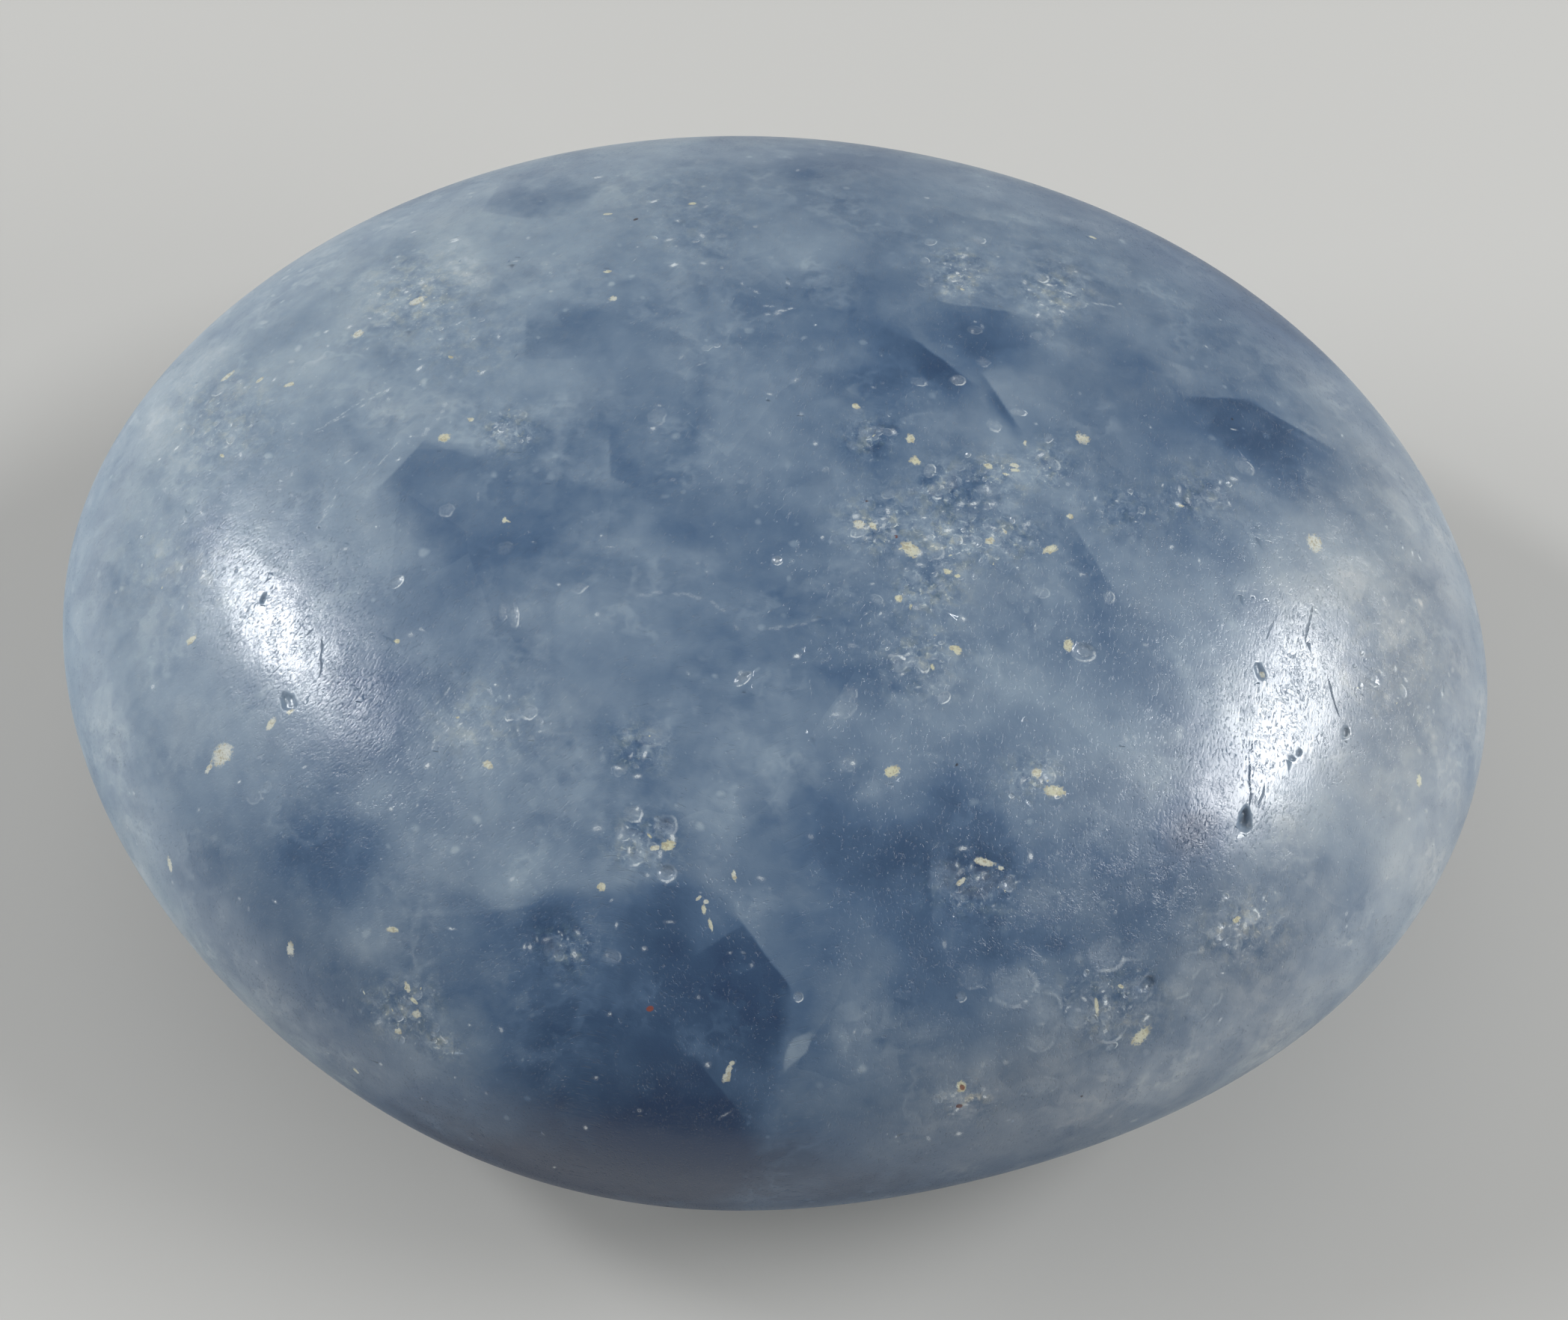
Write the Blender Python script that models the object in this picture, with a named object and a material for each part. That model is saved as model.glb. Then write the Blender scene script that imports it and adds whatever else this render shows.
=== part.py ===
"""Polished palm stone of blue calcite.

The stone is one solid that lies on its underside, which is worn flat in the middle. Lengths are in
metres. +Z is up and +X runs along the stone. The origin is the middle of the stone seen from above,
on the surface that it lies on.
"""

import math

import bmesh
import bpy
from mathutils import Matrix, Vector
from mathutils.bvhtree import BVHTree

# Driving dimensions
LENGTH = 0.070
WIDTH = 0.0582
HEIGHT = 0.0270

# Seen from above, the outline is a superellipse, slightly more pointed at its ends than an ellipse.
OUTLINE_POWER = 1.95
# A section through the middle is slightly fuller than an ellipse.
SECTION_POWER = 2.15
# Hand polishing left the outline a little uneven. Each wave has its crests all round, its share of
# the radius, and the direction of a crest in degrees from +X.
POLISH_WAVES = ((3, 0.007, 45.0), (4, 0.005, -60.0), (5, 0.004, -140.0))

# The underside is worn flat by this much, and the flat runs into the dome over this height.
FLAT_DEPTH = 0.0005
FLAT_BLEND = 0.00015

# The rounded form is a cube whose sides are divided by this many cuts.
GRID_CUTS = 23

# The larger vugs, small hollows that polishing opened. Each has its place seen from above in
# millimetres, its face (1 upper, -1 underside), the length and width of its mouth and its depth in
# millimetres, and its turn from +X in degrees.
MM = 0.001
VUGS = (
    (22.2, -12.8, 1, 2.1, 1.0, 0.50, 80.0),
    (22.8, -5.6, 1, 1.4, 0.8, 0.40, 75.0),
    (24.1, -8.4, 1, 1.0, 0.8, 0.35, 20.0),
    (-20.2, -11.8, 1, 1.5, 1.1, 0.45, 100.0),
    (-22.4, -6.8, 1, 1.2, 0.7, 0.35, 110.0),
    (0.0, -10.2, 1, 1.2, 0.8, 0.35, 35.0),
    (-2.4, -16.9, 1, 1.3, 1.1, 0.40, 10.0),
    (14.5, -7.0, 1, 1.4, 1.0, 0.40, -30.0),
    (3.6, -24.6, 1, 1.9, 0.9, 0.35, 60.0),
    (8.0, 6.3, 1, 1.0, 0.8, 0.35, 0.0),
    (-14.5, 13.5, -1, 1.8, 1.1, 0.45, 25.0),
    (13.0, 11.5, -1, 1.4, 1.0, 0.40, -50.0),
    (-17.0, -9.0, -1, 1.6, 0.9, 0.40, 70.0),
    (9.0, -16.0, -1, 1.2, 1.0, 0.40, 15.0),
)
VUG_SMOOTHNESS = 2

STONE_BLUE = (0.155, 0.238, 0.392, 1.0)
POLISH_ROUGHNESS = 0.22


def clear_scene():
    for old in list(bpy.data.objects):
        bpy.data.objects.remove(old)


def outline_radius(angle):
    """The stone's reach from its middle, seen from above, in the direction of angle."""
    along = abs(math.cos(angle)) / (LENGTH / 2)
    across = abs(math.sin(angle)) / (WIDTH / 2)
    radius = (along**OUTLINE_POWER + across**OUTLINE_POWER) ** (-1 / OUTLINE_POWER)
    unevenness = sum(
        share * math.cos(crests * angle - math.radians(crest_angle))
        for crests, share, crest_angle in POLISH_WAVES
    )
    return radius * (1 + unevenness)


def worn_height(height):
    """A height above the flat, with the flat at zero and a smooth run into the dome."""
    if height < -FLAT_BLEND:
        return 0.0
    if height < FLAT_BLEND:
        return (height + FLAT_BLEND) ** 2 / (4 * FLAT_BLEND)
    return height


def polished_point(direction):
    """The point of the polished surface for a direction from the middle of the rounded form."""
    angle = math.atan2(direction.y, direction.x)
    climb = math.asin(max(-1.0, min(1.0, direction.z)))
    reach = outline_radius(angle) * math.cos(climb) ** (2 / SECTION_POWER)
    half_height = (HEIGHT + FLAT_DEPTH) / 2
    rise = math.copysign(abs(math.sin(climb)) ** (2 / SECTION_POWER), climb) * half_height
    height = worn_height(rise + half_height - FLAT_DEPTH)
    return Vector((reach * math.cos(angle), reach * math.sin(angle), height))


def rounded_grid():
    """A ball of even squares: a cube, divided and pushed out to a sphere by equal angles."""
    grid = bmesh.new()
    bmesh.ops.create_cube(grid, size=2.0)
    bmesh.ops.subdivide_edges(grid, edges=grid.edges, cuts=GRID_CUTS, use_grid_fill=True)
    for vertex in grid.verts:
        vertex.co = Vector([math.tan(side * math.pi / 4) for side in vertex.co]).normalized()
    return grid


def fit_plan(grid):
    """Brings the box seen from above to LENGTH by WIDTH, with its middle at the origin."""
    for axis, size in ((0, LENGTH), (1, WIDTH)):
        low = min(vertex.co[axis] for vertex in grid.verts)
        high = max(vertex.co[axis] for vertex in grid.verts)
        for vertex in grid.verts:
            vertex.co[axis] = (vertex.co[axis] - (low + high) / 2) * size / (high - low)


def new_object(name, grid):
    mesh = bpy.data.meshes.new(name)
    grid.to_mesh(mesh)
    made = bpy.data.objects.new(name, mesh)
    bpy.context.scene.collection.objects.link(made)
    return made


def vug_cutter(surface):
    """One oval ball for each vug, sunk to its waist in the surface and square to it."""
    balls = bmesh.new()
    for x, y, face, length, width, depth, turn in VUGS:
        outside = Vector((x * MM, y * MM, HEIGHT * (1 + face)))
        mouth, outward, _, _ = surface.ray_cast(outside, Vector((0.0, 0.0, -face)))
        place = (
            Matrix.Translation(mouth)
            @ outward.to_track_quat("Z", "X").to_matrix().to_4x4()
            @ Matrix.Rotation(math.radians(turn), 4, "Z")
            @ Matrix.Diagonal((length / 2 * MM, width / 2 * MM, depth * MM, 1.0))
        )
        bmesh.ops.create_icosphere(balls, subdivisions=VUG_SMOOTHNESS, radius=1.0, matrix=place)
    cutter = new_object("vug_cutter", balls)
    balls.free()
    cutter.hide_render = True
    cutter.display_type = "WIRE"
    return cutter


def calcite_material():
    material = bpy.data.materials.new("polished_blue_calcite")
    material.use_nodes = True
    surface = material.node_tree.nodes["Principled BSDF"]
    surface.inputs["Base Color"].default_value = STONE_BLUE
    surface.inputs["Roughness"].default_value = POLISH_ROUGHNESS
    surface.inputs["Metallic"].default_value = 0.0
    material.diffuse_color = STONE_BLUE
    return material


def build_stone():
    grid = rounded_grid()
    for vertex in grid.verts:
        vertex.co = polished_point(vertex.co)
    fit_plan(grid)
    stone = new_object("stone", grid)
    opened = stone.modifiers.new("opened_vugs", "BOOLEAN")
    opened.operation = "DIFFERENCE"
    opened.object = vug_cutter(BVHTree.FromBMesh(grid))
    grid.free()
    stone.data.shade_smooth()
    stone.data.materials.append(calcite_material())


clear_scene()
build_stone()
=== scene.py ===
"""Looks of the polished palm stone of blue calcite.

Lengths are in metres, in the frame of the solid model: +Z is up, +X runs along the stone, and the
floor is the plane z = 0. A size in millimetres is multiplied by MM. A place on the side that the
camera sees is given by the pixel of the photograph that shows it, in a picture of PHOTO_WIDTH by
PHOTO_HEIGHT, and is then found on the stone itself.
"""

import math
import random

import bpy
import numpy as np
from mathutils import Matrix, Vector, noise
from mathutils.bvhtree import BVHTree
from mathutils.kdtree import KDTree


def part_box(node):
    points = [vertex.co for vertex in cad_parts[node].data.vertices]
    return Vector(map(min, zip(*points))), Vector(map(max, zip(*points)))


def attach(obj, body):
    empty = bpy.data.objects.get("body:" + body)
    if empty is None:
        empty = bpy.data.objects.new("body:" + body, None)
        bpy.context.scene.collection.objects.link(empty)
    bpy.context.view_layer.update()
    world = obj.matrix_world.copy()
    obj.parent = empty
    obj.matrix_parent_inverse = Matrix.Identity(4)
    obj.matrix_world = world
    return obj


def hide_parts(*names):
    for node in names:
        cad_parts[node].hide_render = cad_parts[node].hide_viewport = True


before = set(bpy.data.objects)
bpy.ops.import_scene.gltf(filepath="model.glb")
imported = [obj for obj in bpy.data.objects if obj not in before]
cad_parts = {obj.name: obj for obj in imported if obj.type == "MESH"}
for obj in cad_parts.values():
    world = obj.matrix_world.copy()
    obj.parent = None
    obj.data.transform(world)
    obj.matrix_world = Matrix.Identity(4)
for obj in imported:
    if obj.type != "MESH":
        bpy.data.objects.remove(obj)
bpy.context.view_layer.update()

MM = 0.001

# Random numbers, which are the same each run: for the wandering rims of patches and vugs, for
# the scattered marks, for the marks of a line, and for the tones and the sides with painted
# highlights in the tables
RIM_SEED = 3
SCATTER_SEED = 7
LINE_SEED = 5
TONE_SEED = 3
noise.seed_set(RIM_SEED)

# Camera
PHOTO_WIDTH = 2096
PHOTO_HEIGHT = 1764
FOCAL_PIXELS = 3280
SENSOR_WIDTH = 36.0
CAMERA_ELEVATION = 60.0
CAMERA_AZIMUTH = 6.58
CAMERA_DISTANCE = 0.12134
AIM_RIGHT = 0.75 * MM
AIM_UP = -1.58 * MM

# Form of the stone, as in the solid model
STONE_LOW, STONE_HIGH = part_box("stone")
STONE_MIDDLE = (STONE_LOW + STONE_HIGH) / 2
LENGTH, WIDTH, HEIGHT = STONE_HIGH - STONE_LOW
OUTLINE_POWER = 1.95
SECTION_POWER = 2.15
POLISH_WAVES = ((3, 0.007, 45.0), (4, 0.005, -60.0), (5, 0.004, -140.0))
FLAT_DEPTH = 0.5 * MM
FLAT_BLEND = 0.15 * MM

# The fine mesh is a cube whose sides are divided by this many cuts. Its faces near small features
# are then divided again, in rounds, for a feature of half this size or less, this far around it.
FINE_CUTS = 69
FINER_ROUNDS = ((9.00 * MM, 0.25 * MM), (0.30 * MM, 0.12 * MM), (0.16 * MM, 0.06 * MM))


def camera_axes():
    """The camera's right, up and forward directions."""
    turn = math.radians(CAMERA_AZIMUTH)
    tilt = math.radians(CAMERA_ELEVATION)
    right = Vector((math.cos(turn), math.sin(turn), 0.0))
    level = Vector((-math.sin(turn), math.cos(turn), 0.0))
    forward = level * math.cos(tilt) - Vector((0.0, 0.0, math.sin(tilt)))
    return right, right.cross(forward), forward


RIGHT, UP, FORWARD = camera_axes()
EYE = STONE_MIDDLE + RIGHT * AIM_RIGHT + UP * AIM_UP - FORWARD * CAMERA_DISTANCE


def make_camera():
    camera = bpy.data.objects.new("camera", bpy.data.cameras.new("camera"))
    camera.data.sensor_width = SENSOR_WIDTH
    camera.data.lens = FOCAL_PIXELS / PHOTO_WIDTH * SENSOR_WIDTH
    camera.data.clip_start = 10 * MM
    camera.data.clip_end = 10.0
    camera.location = EYE
    camera.rotation_euler = FORWARD.to_track_quat("-Z", "Y").to_euler()
    bpy.context.scene.collection.objects.link(camera)
    bpy.context.scene.camera = camera


def photo_ray(px, py):
    """The direction from the camera through a pixel of the photograph."""
    across = (px - PHOTO_WIDTH / 2) / FOCAL_PIXELS
    down = (py - PHOTO_HEIGHT / 2) / FOCAL_PIXELS
    return (FORWARD + RIGHT * across - UP * down).normalized()


def photo_pixels(points):
    """The pixels of the photograph that show an array of points."""
    away = points - np.array(EYE)
    depth = away @ np.array(FORWARD)
    across = away @ np.array(RIGHT) / depth
    down = -(away @ np.array(UP)) / depth
    middle = np.array((PHOTO_WIDTH / 2, PHOTO_HEIGHT / 2))
    return middle + np.stack([across, down], axis=1) * FOCAL_PIXELS


# Form


def outline_radius(angle):
    """The stone's reach from its middle, seen from above, for an array of angles."""
    along = np.abs(np.cos(angle)) / (LENGTH / 2)
    across = np.abs(np.sin(angle)) / (WIDTH / 2)
    radius = (along**OUTLINE_POWER + across**OUTLINE_POWER) ** (-1 / OUTLINE_POWER)
    unevenness = sum(
        share * np.cos(crests * angle - math.radians(crest_angle))
        for crests, share, crest_angle in POLISH_WAVES
    )
    return radius * (1 + unevenness)


def rounded_points(directions):
    """The points of the polished surface for directions from the middle of the rounded form."""
    angle = np.arctan2(directions[:, 1], directions[:, 0])
    climb = np.arcsin(np.clip(directions[:, 2], -1, 1))
    reach = outline_radius(angle) * np.cos(climb) ** (2 / SECTION_POWER)
    half_height = (HEIGHT + FLAT_DEPTH) / 2
    rise = np.sign(climb) * np.abs(np.sin(climb)) ** (2 / SECTION_POWER) * half_height
    height = rise + half_height - FLAT_DEPTH
    run = np.clip(height, -FLAT_BLEND, FLAT_BLEND)
    blended = (run + FLAT_BLEND) ** 2 / (4 * FLAT_BLEND)
    worn = np.where(height < FLAT_BLEND, blended, height)
    return np.stack([reach * np.cos(angle), reach * np.sin(angle), worn], axis=1)


def plan_fit():
    """Scale and shift that bring the form seen from above to the solid's own box."""
    angle = np.linspace(0, 2 * math.pi, 3601)
    rim = np.stack([np.cos(angle), np.sin(angle), 0 * angle], axis=1)
    points = rounded_points(rim)[:, :2]
    low, high = points.min(axis=0), points.max(axis=0)
    scale = np.array((LENGTH, WIDTH)) / (high - low)
    return np.append(scale, 1.0), np.append(-(low + high) / 2 * scale, 0.0)


PLAN_SCALE, PLAN_SHIFT = plan_fit()


def stone_points(directions):
    return rounded_points(directions) * PLAN_SCALE + PLAN_SHIFT


def coordinates(mesh):
    found = np.zeros(len(mesh.vertices) * 3, np.float32)
    mesh.vertices.foreach_get("co", found)
    return found.reshape(-1, 3).astype(float)


def set_coordinates(mesh, points):
    mesh.vertices.foreach_set("co", points.astype(np.float32).ravel())
    mesh.update()


def normals(mesh):
    found = np.zeros(len(mesh.vertices) * 3, np.float32)
    mesh.vertices.foreach_get("normal", found)
    return found.reshape(-1, 3).astype(float)


def face_middles(mesh):
    found = np.zeros(len(mesh.polygons) * 3, np.float32)
    mesh.polygons.foreach_get("center", found)
    return found.reshape(-1, 3).astype(float)


def push_to_ball(mesh, even=False):
    points = coordinates(mesh)
    if even:
        points = np.tan(points * math.pi / 4)
    set_coordinates(mesh, points / np.linalg.norm(points, axis=1)[:, None])


def make_ball():
    """A ball of even squares, which the stone's form is drawn from."""
    bpy.ops.object.select_all(action="DESELECT")
    bpy.ops.mesh.primitive_cube_add(size=2.0, location=(0.0, 0.0, 0.0))
    ball = bpy.context.object
    ball.name = "blue_calcite"
    bpy.ops.object.mode_set(mode="EDIT")
    bpy.ops.mesh.select_all(action="SELECT")
    bpy.ops.mesh.subdivide(number_cuts=FINE_CUTS)
    bpy.ops.object.mode_set(mode="OBJECT")
    push_to_ball(ball.data, even=True)
    return ball


def point_tree(points):
    tree = KDTree(len(points))
    for index, point in enumerate(points):
        tree.insert(point, index)
    tree.balance()
    return tree


def divide_near(ball, features):
    """Divides the faces near small features, each given by its place, reach and fineness."""
    for largest, margin in FINER_ROUNDS:
        middles = stone_points(face_middles(ball.data))
        near = np.zeros(len(middles), bool)
        tree = point_tree(middles)
        for place, reach, fineness in features:
            if fineness < largest:
                for _, index, _ in tree.find_range(place, reach + margin):
                    near[index] = True
        bpy.ops.object.mode_set(mode="EDIT")
        bpy.ops.mesh.select_mode(type="FACE")
        bpy.ops.mesh.select_all(action="DESELECT")
        bpy.ops.object.mode_set(mode="OBJECT")
        ball.data.polygons.foreach_set("select", near)
        bpy.ops.object.mode_set(mode="EDIT")
        bpy.ops.mesh.subdivide(number_cuts=1)
        bpy.ops.object.mode_set(mode="OBJECT")
        push_to_ball(ball.data)


def surface_of(directions_mesh):
    """A tree of the smooth surface, to find places on it."""
    points = [Vector(p) for p in stone_points(coordinates(directions_mesh))]
    faces = [tuple(p.vertices) for p in directions_mesh.polygons]
    return BVHTree.FromPolygons(points, faces)


# Marks


class Mark:
    """A small feature in the polished surface, with its middle, two directions along the surface,
    and its half length and half width along them. Sizes are given in millimetres and angles in
    degrees. The last argument is the direction of the side of a ring that gets a painted highlight."""

    def __init__(
        self, place, normal, along, length, width, tone=0.0, depth=0.0, taper=0.0, bright=0.0
    ):
        self.place = place
        self.normal = normal
        self.along = (along - normal * along.dot(normal)).normalized()
        self.across = normal.cross(self.along)
        self.half_length = length / 2 * MM
        self.half_width = width / 2 * MM
        self.tone = tone
        self.depth = depth * MM
        self.taper = taper
        self.bright = math.radians(bright)

    def reach(self):
        return max(self.half_length, self.half_width)

    def fineness(self):
        return min(self.half_length, self.half_width)


def seen_place(surface, px, py):
    """The place on the stone that a pixel of the photograph shows, and the normal there."""
    place, normal, _, _ = surface.ray_cast(EYE, photo_ray(px, py))
    return place, normal


def picture_direction(turn):
    """A direction in the picture, in degrees from its right, up being positive."""
    return RIGHT * math.cos(math.radians(turn)) + UP * math.sin(math.radians(turn))


def seen_mark(surface, px, py, length, width, turn, **kinds):
    place, normal = seen_place(surface, px, py)
    return Mark(place, normal, picture_direction(turn), length, width, **kinds)


def hidden_mark(surface, dice, length, width, **kinds):
    """A mark at a random place that the camera doesn't see."""
    while True:
        away = Vector([dice.gauss(0, 1) for _ in range(3)]).normalized()
        start = STONE_MIDDLE + Vector((away.x * LENGTH, away.y * LENGTH, away.z * LENGTH))
        place, normal, _, _ = surface.ray_cast(start, (STONE_MIDDLE - start).normalized())
        if normal.dot((EYE - place).normalized()) < HIDDEN_FROM and place.z > FLAT_BLEND:
            along = Vector([dice.gauss(0, 1) for _ in range(3)])
            return Mark(place, normal, along, length, width, **kinds)


# Cream grains: pixel, length and width in millimetres, turn, warmth from 0 (beige) to 1 (yellow)
GRAINS = (
    (1447, 586, 0.8, 0.62, -60, 0.3), (1217, 586, 0.55, 0.45, 80, 0.6),
    (1224, 615, 0.68, 0.6, 0, 0.8), (1757, 726, 1.05, 0.8, 85, 0.0), (1430, 690, 0.32, 0.28, 0, 0.5),
    (1428, 862, 0.7, 0.45, 80, 0.7), (1404, 734, 0.8, 0.38, 25, 0.6),
    (1217, 734, 1.0, 0.7, -50, 0.5), (1323, 723, 0.5, 0.4, 60, 0.4),
    (1167, 703, 0.55, 0.28, -65, 0.5), (1148, 701, 0.6, 0.45, 0, 0.2),
    (1267, 764, 0.45, 0.28, -20, 0.7), (1280, 770, 0.28, 0.24, 0, 0.8),
    (1201, 800, 0.42, 0.36, 90, 0.7), (1321, 623, 0.48, 0.34, -20, 0.6),
    (1277, 867, 0.62, 0.3, -20, 0.9), (1192, 1031, 0.75, 0.5, 20, 0.9),
    (1410, 1057, 0.95, 0.5, -5, 0.7), (1386, 1033, 0.5, 0.42, 30, 0.4),
    (1525, 1385, 1.05, 0.6, 50, 0.6), (1285, 1452, 0.62, 0.42, -70, 0.8),
    (297, 1008, 1.3, 0.95, 35, 0.0), (279, 1027, 0.6, 0.28, 50, 0.0), (362, 968, 0.66, 0.38, 60, 0.3),
    (388, 951, 0.42, 0.24, 20, 0.3), (1688, 901, 0.34, 0.22, -70, 0.2), (256, 855, 0.7, 0.3, 25, 0.4),
    (531, 857, 0.28, 0.22, 0, 1.0), (594, 585, 0.62, 0.5, 10, 0.7), (630, 561, 0.32, 0.22, 20, 0.5),
    (675, 695, 0.34, 0.28, 30, 0.6), (387, 514, 0.55, 0.28, 5, 0.4), (347, 508, 0.42, 0.26, 40, 0.3),
    (304, 503, 0.9, 0.32, 45, 0.1), (558, 402, 0.9, 0.5, 30, 0.0), (478, 447, 0.66, 0.5, 40, 0.0),
    (926, 272, 0.45, 0.22, 10, 0.6), (812, 286, 0.55, 0.18, 0, 0.4), (812, 363, 0.42, 0.22, 5, 0.5),
    (820, 399, 0.42, 0.38, 0, 0.3), (1144, 543, 0.42, 0.3, -20, 0.6), (893, 1130, 0.62, 0.45, 25, 0.8),
    (804, 1185, 0.46, 0.36, -15, 0.6), (981, 1169, 0.55, 0.2, -80, 0.3),
    (941, 1216, 0.42, 0.22, -80, 0.6), (950, 1236, 0.62, 0.16, -75, 0.5),
    (934, 1200, 0.3, 0.14, 40, 0.2), (944, 1205, 0.26, 0.2, 0, 0.1), (525, 1242, 0.65, 0.26, -5, 0.4),
    (545, 1320, 0.55, 0.26, -70, 0.4), (557, 1355, 0.42, 0.4, 0, 0.2), (532, 1378, 0.34, 0.3, 0, 0.3),
    (476, 1431, 0.38, 0.26, -60, 0.5), (227, 1155, 0.8, 0.36, 85, 0.2),
    (388, 1269, 0.75, 0.42, 80, 0.0), (544, 1319, 0.34, 0.26, 60, 0.5),
    (1316, 1152, 1.0, 0.32, -15, 0.4), (1285, 1178, 0.55, 0.22, 40, 0.3),
    (1466, 1345, 0.85, 0.18, -80, 0.6), (1338, 1160, 0.3, 0.2, 0, 0.2),
    (974, 1430, 0.6, 0.26, 70, 0.2), (971, 1440, 0.5, 0.34, 60, 0.1),
    (978, 1421, 0.3, 0.2, 30, 0.3), (1460, 317, 0.4, 0.24, -30, 0.5),
    (1897, 1043, 0.6, 0.4, 80, 0.6),
)

# Rust and dark specks: pixel, length and width in millimetres, turn, tone from 0 (black) to 1
# (rust red)
SPECKS = (
    (869, 1348, 0.36, 0.26, 20, 1.0), (1286, 1453, 0.34, 0.24, -60, 0.7),
    (850, 293, 0.32, 0.2, 50, 0.1), (1279, 1022, 0.2, 0.14, 60, 0.0), (1159, 670, 0.18, 0.14, 0, 0.2),
    (1198, 717, 0.24, 0.16, -70, 0.5), (1282, 1478, 0.34, 0.24, 0, 0.4),
    (1647, 560, 0.16, 0.16, 0, 0.0), (1446, 1465, 0.16, 0.16, 0, 0.0),
)
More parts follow.
